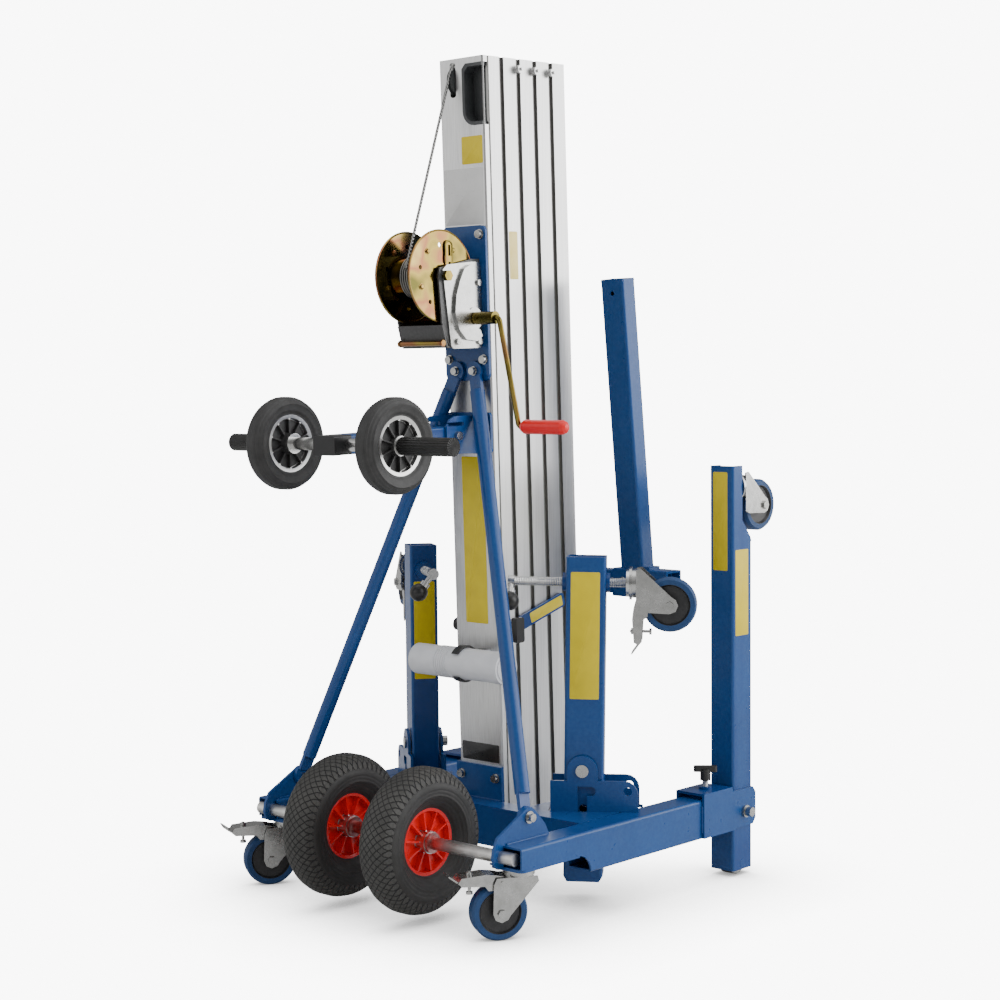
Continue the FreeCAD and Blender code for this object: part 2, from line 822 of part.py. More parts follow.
def caster_fork(braked):
    """Swivel head with its kingpin and crown, two cheeks, the wheel's axle and the pedal's pin."""
    cheek_in = caster_wheel_width / 2 + fork_side_gap
    cheek_out = cheek_in + fork_plate
    crown_z = -caster_drop + caster_wheel_radius + 6
    head = Part.makeCylinder(caster_head_radius, 5 - side_gap, V(0, 0, -5))
    race = Part.makeCylinder(caster_head_radius - 4, 8, V(0, 0, -13))
    neck = Part.makeCylinder(caster_head_radius - 6, -13 - crown_z, V(0, 0, crown_z))
    crown = box(-cheek_in, cheek_in, -24, 24, crown_z, crown_z + fork_plate)
    kingpin = Part.makeCylinder(kingpin_radius, 5 + kingpin_rise, V(0, 0, -5))
    foot_y = -caster_trail
    foot_z = -caster_drop
    points = [(29, -14), (31, -24), (foot_y + 17, foot_z - 4), (foot_y + 12, foot_z - 12), (foot_y, foot_z - 17),
              (foot_y - 12, foot_z - 12), (foot_y - 17, foot_z), (foot_y - 15, -26), (foot_y - 9, -14)]
    arch = rod_x(-cheek_in, cheek_in, foot_y, foot_z, caster_wheel_radius + 3)
    parts = [fuse([head, race, neck, crown, kingpin]).cut(arch)]
    for s in (-1, 1):
        cheek = slab_x(points, s * cheek_in, s * cheek_out)
        parts.append(fuse([cheek, hex_x(s * cheek_out, s * (cheek_out + 5), foot_y, foot_z, 15)]))
    parts.append(rod_x(-cheek_in, cheek_in, foot_y, foot_z, caster_axle_radius))
    if braked:
        for s in (-1, 1):
            end = s * (cheek_out + 2)
            parts.append(rod_x(s * (pedal_cheek - 1), end, pedal_pivot_y, pedal_pivot_z, pedal_pin_radius))
    return joined(parts)


pedal_cheek = caster_wheel_width / 2 + 2.5


def caster_pedal():
    """Brake lever: two cheeks beside the wheel, a top plate, a screw and an upturned toe plate."""
    inner = pedal_cheek
    outer = pedal_cheek + 2.5
    end = -pedal_reach
    cheek = [(-34, -13), (-34, -30), (-50, -38), (-66, -38), (-73, -29), (end + 26, -27), (end + 18, -20),
             (end + 24, -11), (-72, -7), (-50, -9)]
    parts = [slab_x(cheek, s * inner, s * outer) for s in (-1, 1)]
    parts.append(slab_x([(-54, -8.5), (-72, -6.5), (end + 24, -10.5), (end + 24, -13.5), (-72, -9.5), (-54, -11.5)],
                        -outer, outer))
    toe = [(end + 29, -11.2), (end + 18, -17), (end + 4, -7), (end, -5), (end, -7.5), (end + 17, -20), (end + 29, -13.2)]
    parts.append(slab_x(toe, -outer + 3, outer - 3))
    parts.append(rod(V(0, -98, -44), V(0, -98, -2), 3))
    parts.append(rod(V(0, -98, -46), V(0, -98, -41), 6.5))
    parts.append(rod(V(0, -98, -9), V(0, -98, -4), 6.5))
    body = fuse(parts)
    return body.cut(rod_x(-30, 30, pedal_pivot_y, pedal_pivot_z, pedal_pin_radius + pedal_play))


def rear_caster_place(shape, side, turn):
    plate_low_z = rear_low_z - plate_thick
    result = turned(shape, V(0, 0, 0), AXIS_Z, -turn)
    return moved(result, side * rear_caster_x, rear_caster_y, plate_low_z)


def stab_caster_place(shape, side):
    """The caster hangs on the outer end of the jack screw, its plate facing outward."""
    result = turned(shape, V(0, 0, 0), AXIS_Z, -90)
    result = turned(result, V(0, 0, 0), AXIS_Y, -90)
    result = moved(result, stab_caster_plate_u, 0, screw_z)
    result = in_stab_frame(tilted(result))
    return result if side > 0 else mirrored(result)


def front_caster_place(shape, side):
    """The caster's plate looks to +Y and its wheel hangs down."""
    plate_y = pivot_y + front_pivot_z - caster_wheel_radius - caster_drop
    result = turned(shape, V(0, 0, 0), AXIS_X, 90)
    return moved(result, side * beam_mid_x, plate_y, front_caster_z)


for side_name, side in (("right", 1), ("left", -1)):
    turn = rear_caster_turn_right if side > 0 else rear_caster_turn_left
    add("rear_caster_fork_" + side_name, rear_caster_place(caster_fork(True), side, turn))
    add("rear_caster_wheel_" + side_name, rear_caster_place(caster_wheel(), side, turn))
    add("rear_caster_pedal_" + side_name, rear_caster_place(caster_pedal(), side, turn))
    add("stabiliser_fork_" + side_name, stab_caster_place(caster_fork(True), side))
    add("stabiliser_wheel_" + side_name, stab_caster_place(caster_wheel(), side))
    add("stabiliser_pedal_" + side_name, stab_caster_place(caster_pedal(), side))
    add("front_caster_fork_" + side_name, front_caster_place(caster_fork(False), side))
    add("front_caster_wheel_" + side_name, front_caster_place(caster_wheel(), side))

# Stabiliser legs


def stabiliser_leg():
    length = stab_leg_top_z - stab_leg_bottom_z
    tube = moved(square_tube(stab_leg_width, stab_leg_thick, length, stab_wall, 6), 0, 0, stab_leg_bottom_z)
    for s in (-1, 1):
        corner = [(s * 41, stab_leg_bottom_z - 1), (s * 32, stab_leg_bottom_z - 1), (s * 41, stab_leg_bottom_z + 13)]
        tube = tube.cut(slab_y(corner, -40, 40))
    cap = box(-stab_leg_width / 2 + 3, stab_leg_width / 2 - 3, -stab_leg_thick / 2 + 3, stab_leg_thick / 2 - 3,
              stab_leg_top_z - 6, stab_leg_top_z - 2)
    boss_in = rod_x(-stab_leg_width / 2 - 8, stab_leg_width / 2 + 8, 0, screw_z, 19)
    body = tube.fuse([cap, boss_in])
    body = body.cut(rod_x(-80, 80, 0, screw_z, screw_radius + run_gap))
    body = body.cut(rod(V(0, -40, stab_pin_z), V(0, 40, stab_pin_z), stab_pin_radius + run_gap))
    hole_z = stab_pin_z + stab_hole_u
    body = body.cut(rod(V(0, -40, hole_z), V(0, 40, hole_z), stab_hole_radius / 2))
    return body.cut(rod(V(0, -40, stab_lock_z), V(0, 40, stab_lock_z), stab_lock_radius + 1)).removeSplitter()


def stabiliser_pivot():
    pin = rod(V(0, -plate_out, stab_pin_z), V(0, plate_out, stab_pin_z), stab_pin_radius)
    collars = []
    for s in (-1, 1):
        face = s * (stab_leg_thick / 2 + side_gap)
        end = s * (plate_in - 0.5)
        collars.append(rod(V(0, min(face, end), stab_pin_z), V(0, max(face, end), stab_pin_z), 12))
    return fuse([pin] + collars)


def stabiliser_screw():
    """Jack screw with a crank arm and ball at its inner end."""
    outer_u = stab_caster_plate_u
    shaft = rod_x(-screw_inner_u, outer_u, 0, screw_z, screw_radius)
    plate = rod_x(outer_u - 6, outer_u, 0, screw_z, caster_head_radius - 6)
    arm_start = V(-screw_inner_u + 7, 0, screw_z)
    ball_centre = arm_start + V(0, -screw_arm_side, -screw_arm_drop)
    way = (ball_centre - arm_start).normalize()
    hub = rod_x(-screw_inner_u, -screw_inner_u + 14, 0, screw_z, screw_radius + 3)
    arm = rod(arm_start, ball_centre, screw_arm_radius)
    nut_end = ball_centre - way * (screw_knob_radius - 2)
    nut = rod(nut_end - way * 9, nut_end, screw_arm_radius + 4)
    ball = Part.makeSphere(screw_knob_radius, ball_centre)
    socket = rod_x(outer_u - kingpin_rise - 1, outer_u + 1, 0, screw_z, kingpin_radius + run_gap)
    return fuse([shaft, plate, hub, arm, nut, ball]).cut(socket)


def place_stab(shape, side):
    result = in_stab_frame(tilted(shape))
    return result if side > 0 else mirrored(result)


for side_name, side in (("right", 1), ("left", -1)):
    add("stabiliser_leg_" + side_name, place_stab(stabiliser_leg(), side))
    add("stabiliser_pivot_" + side_name, place_stab(stabiliser_pivot(), side))
    add("stabiliser_screw_" + side_name, place_stab(stabiliser_screw(), side))

# Front legs


def front_leg():
    tube = square_tube(leg_size, leg_depth, front_leg_top_z - front_leg_bottom_z, tube_wall, 6)
    tube = moved(tube, beam_mid_x, pivot_y, front_leg_bottom_z)
    back_y = pivot_y + leg_depth / 2
    notch = [(pivot_y, front_leg_top_z + 1), (pivot_y, front_notch_high_z), (back_y + 1, front_notch_low_z - 1),
             (back_y + 1, front_leg_top_z + 1)]
    x0 = beam_inner_x - 1
    x1 = beam_outer_x + 1
    tube = tube.cut(slab_x(notch, x0, x1))
    plate_y = pivot_y + front_pivot_z - caster_wheel_radius - caster_drop
    plate = box(beam_inner_x + 2, beam_outer_x - 2, pivot_y - 2, plate_y, front_notch_high_z, 868)
    slope = [(pivot_y - 1, front_notch_high_z + 2), (pivot_y - 1, front_notch_high_z - 2),
             (back_y - 1, front_notch_low_z - 3), (back_y - 1, front_notch_low_z + 1)]
    slope_plate = slab_x(slope, beam_inner_x + 1, beam_outer_x - 1)
    plate = plate.cut(rod(V(beam_mid_x, pivot_y - 5, front_caster_z), V(beam_mid_x, plate_y + 1, front_caster_z),
                          kingpin_radius + run_gap))
    body = fuse([tube, plate, slope_plate])
    body = body.cut(rod_x(x0, x1, pivot_y, front_pivot_z, front_pivot_radius + run_gap))
    rivets = rod_x(beam_inner_x, beam_outer_x, pivot_y, front_roller_radius, front_roller_axle)
    heads = []
    for x_face, s in ((beam_outer_x, 1), (beam_inner_x, -1)):
        heads.append(rod_x(x_face - s * 2, x_face + s * 0.3, pivot_y, front_roller_radius, 9))
    return body.fuse([rivets] + heads).removeSplitter()


def front_roller():
    half = front_roller_width / 2
    bore = front_roller_axle + run_gap
    outline = [(bore, -half), (front_roller_radius - 2, -half), (front_roller_radius, -half + 3),
               (front_roller_radius, half - 3), (front_roller_radius - 2, half), (bore, half)]
    roller = revolve_x([(r, beam_mid_x + x) for r, x in outline], pivot_y, front_roller_radius)
    sleeves = []
    for s in (-1, 1):
        x0 = beam_mid_x + s * (half + side_gap)
        x1 = beam_mid_x + s * (beam_width / 2 - tube_wall + 0.5)
        sleeves.append(ring_x(x0, x1, pivot_y, front_roller_radius, front_roller_axle + 3, front_roller_axle - 0.5))
    return roller, sleeves


def socket_knob():
    x = beam_mid_x
    low = front_pivot_z + leg_depth / 2 + socket_gap
    base = socket_top_z + 18
    screw = rod(V(x, knob_y, low), V(x, knob_y, base + 10), knob_screw_radius)
    boss = rod(V(x, knob_y, base), V(x, knob_y, base + 24), 11)
    wing = box(x - 7, x + 7, knob_y - knob_wing_length / 2, knob_y + knob_wing_length / 2,
               base + 24 - knob_wing_height / 2, base + 24 + knob_wing_height / 2)
    wing = round_edges(wing, 6, lambda e: along(e, AXIS_Z))
    return fuse([screw, boss, turned(wing, V(x, knob_y, 0), AXIS_Z, knob_turn_deg)])


right_leg = front_leg()
right_roller, right_sleeves = front_roller()
right_leg = right_leg.fuse(right_sleeves).removeSplitter()
for side_name, side in (("right", 1), ("left", -1)):
    flip = (lambda s: s) if side > 0 else mirrored
    add("front_leg_" + side_name, flip(right_leg))
    add("front_roller_" + side_name, flip(right_roller))
    add("socket_knob_" + side_name, flip(socket_knob()))

# Struts from the mast to the rear brackets


def strut():
    rear_face = -winch_plate_thick
    out = leaned_way(0, 1, 0)
    top = leaned_point(strut_top_x, rear_face - strut_flat / 2, strut_top_z)
    low = V(strut_plate_outer_x - plate_thick - strut_flat / 2, strut_bolt_y, strut_bolt_z)
    way = (low - top).normalize()
    tube_start = top + way * strut_flat_length
    tube_end = low - way * strut_flat_length
    tube = rod(tube_start, tube_end, strut_radius)
    top_disc = rod(top - out * (strut_flat / 2), top + out * (strut_flat / 2), strut_eye_radius)
    low_disc = rod(low + V(-strut_flat / 2, 0, 0), low + V(strut_flat / 2, 0, 0), strut_eye_radius)
    top_flat = flat_bar(top + way * 12, tube_start + way * 8, out, strut_flat, 2 * strut_radius)
    low_flat = flat_bar(tube_end - way * 8, low - way * 12, V(1, 0, 0), strut_flat, 2 * strut_radius)
    body = fuse([tube, top_disc, low_disc, top_flat, low_flat])
    bolt_top = rod(top - out * 20, top + out * 20, plate_bolt_radius)
    bolt_low = rod(low + V(-20, 0, 0), low + V(20, 0, 0), plate_bolt_radius)
    return body.cut(bolt_top).cut(bolt_low), top, low


def flat_bar(start, end, thin_axis, thickness, width):
    """Flattened stretch of a tube between two points, thin along thin_axis."""
    way = (end - start).normalize()
    thin = (thin_axis - way * thin_axis.dot(way)).normalize()
    wide = way.cross(thin)
    corner = [start + thin * (thickness / 2) + wide * (width / 2), start + thin * (thickness / 2) - wide * (width / 2),
              start - thin * (thickness / 2) - wide * (width / 2), start - thin * (thickness / 2) + wide * (width / 2)]
    return slab(corner, end - start)


right_strut, strut_top, strut_low = strut()
add("struts", Part.makeCompound([right_strut, mirrored(right_strut)]))

# Winch plate, winch frame and cover


gear_x = drum_far_x - flange_thick - 4 - gear_width


def winch_plate():
    plate = box(-half_width, half_width, -winch_plate_thick, 0, winch_plate_low_z, winch_plate_high_z)
    plate = round_edges(plate, 14, lambda e: along(e, AXIS_Y))
    for x, z in winch_bolts + [(-strut_top_x, strut_top_z), (strut_top_x, strut_top_z)]:
        plate = plate.cut(rod(V(x, -20, z), V(x, 5, z), plate_bolt_radius))
    return plate


def winch_frame():
    back_y = -winch_plate_thick
    low = frame_low_z
    high = frame_high_z
    base = box(frame_far_x, frame_near_x, back_y - frame_plate, back_y, low, high)
    side_points = [(back_y, low), (back_y, high), (back_y - 22, high), (drum_y - 14, drum_z + 16),
                   (drum_y - 18, drum_z), (drum_y - 12, low + 52), (drum_y + 8, low), ]
    sides = []
    for x0 in (frame_far_x, frame_near_x - frame_plate):
        plate = slab_x(side_points, x0, x0 + frame_plate)
        plate = plate.cut(rod_x(x0 - 1, x0 + frame_plate + 1, drum_y, drum_z, drum_shaft_radius + run_gap))
        sides.append(plate.cut(rod_x(x0 - 1, x0 + frame_plate + 1, crank_y, crank_z, crank_shaft_radius + run_gap)))
    shield = slab_x([(drum_y + 4, low + 2), (drum_y - 8, low + 46), (drum_y - 12, low + 46), (drum_y, low + 2)],
                    frame_far_x, frame_near_x)
    floor = box(frame_far_x, frame_near_x, drum_y + 2, back_y, low, low + frame_plate)
    tie = rod_x(frame_far_x - 6, frame_near_x, drum_y + 22, low + 14, 5)
    window = box(gear_x - 2, gear_x + gear_width + 2, back_y - frame_plate - 1, back_y + 1,
                 crank_z - frame_window_half, crank_z + frame_window_half)
    base = base.cut(window)
    for x in (-30, 30):
        base = base.cut(rod(V(x, -20, low + 24), V(x, 0, low + 24), 5))
    return joined([base] + sides + [floor, shield, tie])


def winch_cover():
    """Zinc side plate with its raised curved housing."""
    x0 = frame_near_x
    outline = [(-118, 1282), (-106, 1292), (-34, 1298), (-14, 1298), (-7, 1290), (-7, 1132),
               (-16, 1124), (-92, 1124), (-100, 1130)]
    plate = slab_x(outline, x0, x0 + cover_thick / 2)
    bulge = [(-62, 1284), (-44, 1292), (-34, 1282), (-44, 1240), (-52, 1214), (-46, 1176), (-20, 1160), (-14, 1148),
             (-30, 1138), (-62, 1142), (-82, 1162), (-92, 1196), (-88, 1230), (-76, 1260)]
    raised = slab_x(bulge, x0, x0 + cover_thick + 3)
    boss = rod_x(x0, x0 + cover_thick + 1, crank_y, crank_z, 22)
    body = fuse([plate, raised, boss])
    heads = []
    for y, z in ((-15, 1256), (-81, 1138), (-18, 1138)):
        heads.append(rod_x(x0 + 2, x0 + cover_thick / 2 + 5, y, z, 6.5))
    body = body.fuse(heads)
    body = body.cut(rod_x(x0 - 1, x0 + 30, drum_y, drum_z, drum_shaft_radius + run_gap))
    return body.cut(rod_x(x0 - 1, x0 + 30, crank_y, crank_z, crank_shaft_radius + run_gap)).removeSplitter()


add("winch_plate", leaned(winch_plate()))
add("winch_frame", leaned(winch_frame()))
add("winch_cover", leaned(winch_cover()))

# Drum and gears

centre_distance = math.hypot(crank_y - drum_y, crank_z - drum_z)
drum_teeth = int(round(2 * drum_gear_radius / gear_module))
pinion_teeth = int(round(2 * centre_distance / gear_module)) - drum_teeth
tooth_module = 2 * centre_distance / (drum_teeth + pinion_teeth)


def gear(teeth, x0, y, z, first_angle, bore):
    """Straight-cut gear with trapezoid teeth, its first tooth at first_angle."""
    pitch = tooth_module * teeth / 2
    root = pitch - 1.2 * tooth_module
    tip = pitch + 0.85 * tooth_module
    step = 2 * math.pi / teeth
    points = []
    for index in range(teeth):
        middle = first_angle + index * step
        half_root = math.pi * tooth_module * 0.34 / root
        half_tip = math.pi * tooth_module * 0.13 / tip
        for radius, angle in ((root, middle - half_root), (tip, middle - half_tip),
                              (tip, middle + half_tip), (root, middle + half_root)):
            points.append((y + radius * math.cos(angle), z + radius * math.sin(angle)))
    return slab_x(points, x0, x0 + gear_width).cut(rod_x(x0 - 1, x0 + gear_width + 1, y, z, bore))


mesh_angle = math.atan2(crank_z - drum_z, crank_y - drum_y)


def winch_drum():
    y = drum_y
    z = drum_z
    core = rod_x(drum_far_x, drum_near_x, y, z, drum_core_radius)
    parts = [core]
    for x0, x1 in ((drum_far_x - flange_thick, drum_far_x), (drum_near_x, drum_near_x + flange_thick)):
        disc = rod_x(x0, x1, y, z, flange_radius)
        for step in range(5):
            angle = math.radians(72 * step + 20)
            hole_y = y + 62 * math.cos(angle)
            hole_z = z + 62 * math.sin(angle)
            disc = disc.cut(rod_x(x0 - 1, x1 + 1, hole_y, hole_z, 4.5))
        parts.append(disc)
    near_end = frame_near_x - frame_plate - side_gap
    far_end = frame_far_x + frame_plate + side_gap
    parts.append(rod_x(far_end, near_end, y, z, drum_hub_radius))
    shaft_end = frame_near_x + cover_thick / 2 + 0.4
    parts.append(rod_x(frame_far_x - 6, shaft_end + 8, y, z, drum_shaft_radius))
    parts.append(hex_x(shaft_end, shaft_end + 8, y, z, 20))
    parts.append(hex_x(frame_far_x - 8, frame_far_x - 0.4, y, z, 20))
    parts.append(gear(drum_teeth, gear_x, y, z, mesh_angle, drum_hub_radius - 1))
    clamp_x = drum_near_x + flange_thick
    clamp_end = clamp_x + clamp_depth
    saddle = box(clamp_x - 0.5, clamp_end, y + 8, y + 32, z + 28, z + 40)
    legs = [box(clamp_x - 0.5, clamp_end - 0.5, y + 10, y + 15, z + 22, z + 66),
            box(clamp_x - 0.5, clamp_end - 0.5, y + 25, y + 30, z + 22, z + 66),
            box(clamp_x - 0.5, clamp_end - 0.5, y + 12, y + 28, z + 62, z + 70)]
    return fuse(parts + [saddle] + legs)


def winch_crank():
    """Crank shaft with its pinion, hub and bent rod."""
    y = crank_y
    z = crank_z
    shaft = rod_x(frame_far_x - 6, crank_hub_outer_x - 6, y, z, crank_shaft_radius)
    mesh_start = mesh_angle + math.pi + math.pi / pinion_teeth
    pinion = gear(pinion_teeth, gear_x, y, z, mesh_start, crank_shaft_radius - 1)
    collar = ring_x(frame_far_x - 7, frame_far_x - 0.4, y, z, 14, crank_shaft_radius - 1)
    hub_start = frame_near_x + cover_thick + 5
    hub = rod_x(hub_start, crank_hub_outer_x, y, z, crank_hub_radius)
    set_screw = rod(V(hub_start + 10, y - crank_hub_radius - 4, z), V(hub_start + 10, y, z), 4)
    turn = math.radians(crank_angle_deg)
    down = V(0, math.sin(turn), -math.cos(turn))
    centre = V(crank_rod_x, y, z)
    bend = 8.0
    start = V(crank_rod_x - bend - 9, y, z)
    knee = V(crank_rod_x - bend, y, z)
    first = knee + V(bend, 0, 0) + down * bend
    end_centre = centre + down * crank_reach
    last = V(first.x, end_centre.y, end_centre.z) - down * bend
    grip_in = V(first.x + bend, end_centre.y, end_centre.z)
    mid_1 = knee + V(bend * math.sin(math.pi / 4), 0, 0) + down * (bend * (1 - math.cos(math.pi / 4)))
    mid_2 = last + down * (bend * math.sin(math.pi / 4)) + V(bend * (1 - math.cos(math.pi / 4)), 0, 0)
    end = grip_in + V(grip_start_x + grip_length - 12 - grip_in.x, 0, 0)
    edges = [Part.LineSegment(start, knee).toShape(), Part.Arc(knee, mid_1, first).toShape(),
             Part.LineSegment(first, last).toShape(), Part.Arc(last, mid_2, grip_in).toShape(),
             Part.LineSegment(grip_in, end).toShape()]
    path = Part.Wire(edges)
    section = Part.Wire([Part.Circle(start, AXIS_X, crank_rod_radius).toShape()])
    bent = path.makePipeShell([section], True, False)
    return fuse([shaft, pinion, collar, hub, set_screw, bent]), end_centre


def crank_grip(centre):
    x0 = grip_start_x + 2
    x1 = grip_start_x + grip_length
    r = grip_radius
    bore = crank_rod_radius + run_gap
    outline = [(bore, x0), (r - 4, x0), (r, x0 + 8), (r, x1 - 12), (r - 3, x1 - 5), (r - 8, x1 - 1), (0, x1),
               (0, x1 - 11), (bore, x1 - 11)]
    return revolve_x(outline, centre.y, centre.z)


crank_shape, grip_centre = winch_crank()
add("winch_drum", leaned(winch_drum()))
add("winch_crank", leaned(crank_shape))
add("crank_grip", leaned(crank_grip(grip_centre)))

# Pulley and rope


def top_pulley():
    half = pulley_width / 2
    r = pulley_radius
    groove = r - 5
    pin = pulley_pin_radius
    outline = [(0, -half), (r, -half), (groove, -rope_radius), (groove, rope_radius), (r, half), (0, half)]
    wheel = revolve_x([(radius, pulley_x + x) for radius, x in outline], pulley_y, pulley_z)
    ends = rod_x(pulley_x - half - 3, pulley_x + half + 3, pulley_y, pulley_z, pin - run_gap)
    return fuse([wheel, ends])


rope_line_radius = pulley_radius - 5 + rope_radius + 0.3
drum_line_radius = drum_core_radius + 3 * rope_radius + side_gap


def wire_rope():
    """Rope wound on the drum, led taut to the pulley and over it down inside the mast."""
    dy = pulley_y - drum_y
    dz = pulley_z - drum_z
    distance = math.hypot(dy, dz)
    bearing = math.atan2(dz, dy)
    # Both circles lie on the same side of the rope, so the line is their outer tangent.
    turn = math.asin((rope_line_radius - drum_line_radius) / distance)
    normal = bearing + math.pi / 2 + turn
    n_y = math.cos(normal)
    n_z = math.sin(normal)
    x = pulley_x
    start = V(x, drum_y + drum_line_radius * n_y, drum_z + drum_line_radius * n_z)
    touch = V(x, pulley_y + rope_line_radius * n_y, pulley_z + rope_line_radius * n_z)
    over = V(x, pulley_y, pulley_z + rope_line_radius)
    leave = V(x, pulley_y + rope_line_radius, pulley_z)
    end = V(x, pulley_y + rope_line_radius, rope_anchor_z)
    run_1 = Part.LineSegment(start, touch).toShape()
    arc = Part.Arc(touch, over, leave).toShape()
    run_2 = Part.LineSegment(leave, end).toShape()
    path = Part.Wire([run_1, arc, run_2])
    section = Part.Wire([Part.Circle(start, touch - start, rope_radius).toShape()])
    rope = path.makePipeShell([section], True, False)
    print("rope volume ratio %.4f" % (rope.Volume / (math.pi * rope_radius ** 2 * path.Length)))
    print("rope length %.0f mm" % path.Length)
    anchor = box(end.x - 6, end.x + 6, end.y - 5, first_section_depth - section_wall, end.z - 24, end.z + 2)
    return fuse([rope, anchor])


def rope_wrap():
    x0 = pulley_x - rope_wrap_width / 2
    x1 = pulley_x + rope_wrap_width / 2
    return ring_x(x0, x1, drum_y, drum_z, drum_core_radius + 2 * rope_radius, drum_core_radius - 0.5)


add("top_pulley", leaned(top_pulley()))
add("wire_rope", leaned(wire_rope()))
nodes["winch_drum"] = nodes["winch_drum"].fuse(leaned(rope_wrap())).removeSplitter()

# Transport handle


def handle_bracket():
    """Back plate with two slotted ears beside the handle's arm."""
    z = handle_pivot_z
    plate = box(-half_width, half_width, -7, 0, z - 41, z + 44)
    plate = round_edges(plate, 10, lambda e: along(e, AXIS_Y))
    ear_points = [(-7, z - 39), (-7, z + 40), (-84, z + 40), (-100, z + 34), (-110, z + 20), (-110, z - 4),
                  (-104, z - 22), (-92, z - 36)]
    pieces = [plate]
    for s in (-1, 1):
        x0 = s * (arm_width / 2 + 1)
        ear = slab_x(ear_points, x0, x0 + s * 5)
        ear = ear.cut(rod_x(-60, 60, handle_pivot_y, z, handle_pin_radius))
        pieces.append(ear.cut(box(-60, 60, -106, -60, z + 20, z + 28)))
    return joined(pieces)


def handle_arm():
    y1 = handle_pivot_y + 24
    length = y1 - arm_rear_y
    tube = box(-arm_width / 2, arm_width / 2, arm_rear_y, y1, handle_pivot_z - arm_height / 2,
               handle_pivot_z + arm_height / 2)
    tube = round_edges(tube, 4, lambda e: along(e, AXIS_Y))
    inner = box(-arm_width / 2 + 3, arm_width / 2 - 3, arm_rear_y + 10, y1 + 1,
                handle_pivot_z - arm_height / 2 + 3, handle_pivot_z + arm_height / 2 - 3)
    tube = tube.cut(inner)
    sleeve = ring_x(-arm_width / 2, arm_width / 2, handle_pivot_y, handle_pivot_z, 10, handle_pin_radius + run_gap)
    tube = tube.cut(rod_x(-40, 40, handle_pivot_y, handle_pivot_z, 9))
    tube = tube.fuse(sleeve)
    return tube.cut(rod_x(-40, 40, handle_bar_y, handle_pivot_z, handle_bar_radius)), length


def handle_bar():
    bar = rod_x(-handle_bar_half + 6, handle_bar_half - 6, handle_bar_y, handle_pivot_z, handle_bar_radius)
    parts = [bar]
    for s in (-1, 1):
        inner = s * (handle_wheel_x - handle_wheel_width / 2 - side_gap)
        parts.append(ring_x(inner, inner - s * 5, handle_bar_y, handle_pivot_z, 20, handle_bar_radius - 1))
        end = s * handle_bar_half
        start = s * (handle_bar_half - handle_grip_length)
        parts.append(rod_x(start, end, handle_bar_y, handle_pivot_z, handle_grip_radius))
        outer = s * (handle_wheel_x + handle_wheel_width / 2 - 6 + side_gap)
        if abs(outer) < abs(start):
            parts.append(ring_x(outer, start + s, handle_bar_y, handle_pivot_z, 17, handle_bar_radius - 1))
    return fuse(parts)


def handle_wheel(centre_x, side):
    half = handle_wheel_width / 2
    r = handle_wheel_radius
    bore = handle_wheel_bore
    outline = [(bore, -half), (20, -half), (22, -6), (48, -6), (50, -half + 8), (60, -half + 6), (66, -half + 3),
               (r - 14, -half), (r - 3, -half + 8), (r, -8), (r, 8), (r - 3, half - 8), (r - 14, half),
               (66, half - 3), (60, half - 6), (50, half - 8), (48, 6), (22, 6), (20, half - 6), (bore, half - 6)]
    body = revolve_x([(radius, centre_x + side * x) for radius, x in outline], handle_bar_y, handle_pivot_z)
    ribs = []
    for step in range(handle_wheel_ribs):
        rib = box(centre_x - half + 9, centre_x + half - 9, handle_bar_y - 1.5, handle_bar_y + 1.5,
                  handle_pivot_z + 18, handle_pivot_z + 52)
        ribs.append(turned(rib, V(0, handle_bar_y, handle_pivot_z), AXIS_X, 360.0 / handle_wheel_ribs * step))
    return fuse([body] + ribs)


add("handle_bracket", leaned(handle_bracket()))
add("handle_arm", leaned(handle_arm()[0]))
add("handle_bar", leaned(handle_bar()))
add("handle_wheel_right", leaned(handle_wheel(handle_wheel_x, 1)))
add("handle_wheel_left", leaned(handle_wheel(-handle_wheel_x, -1)))

# Document tube and its clip


def document_tube():
    y = doc_tube_y
    z = doc_tube_z
    r = doc_tube_radius
    left = doc_tube_left_x
    right = doc_tube_right_x
    body = rod_x(left, right - 26, y, z, r - 1)
    cap = rod_x(right - 26, right - 2, y, z, r)
    end = rod_x(right - 2, right, y, z, r - 6)
    parts = [body, cap, end]
    for step in range(6):
        x = left + 70 + 6 * step
        parts.append(rod_x(x, x + 3, y, z, r))
    tube = fuse(parts).cut(rod_x(left + 3, right - 26, y, z, r - 4))
    x0 = doc_clip_x - doc_clip_half
    x1 = doc_clip_x + doc_clip_half
    clip_ring = ring_x(x0, x1, y, z, r + 5, r)
    mouth = box(x0 - 2, x1 + 2, y - r - 10, y - 12, z - 24, z + 24)
    foot = box(x0 - 6, x1 + 6, y + 20, 0, z - 22, z + 22)
    clip = fuse([clip_ring.cut(mouth), foot.cut(rod_x(x0 - 8, x1 + 8, y, z, r))])
    return tube, clip


tube_shape, clip_shape = document_tube()
add("document_tube", Part.makeCompound([leaned(tube_shape), leaned(clip_shape)]))

# Carriage, forks and the transport lock

mast_front_y = section_rear_y(moving_sections - 1) + section_depth


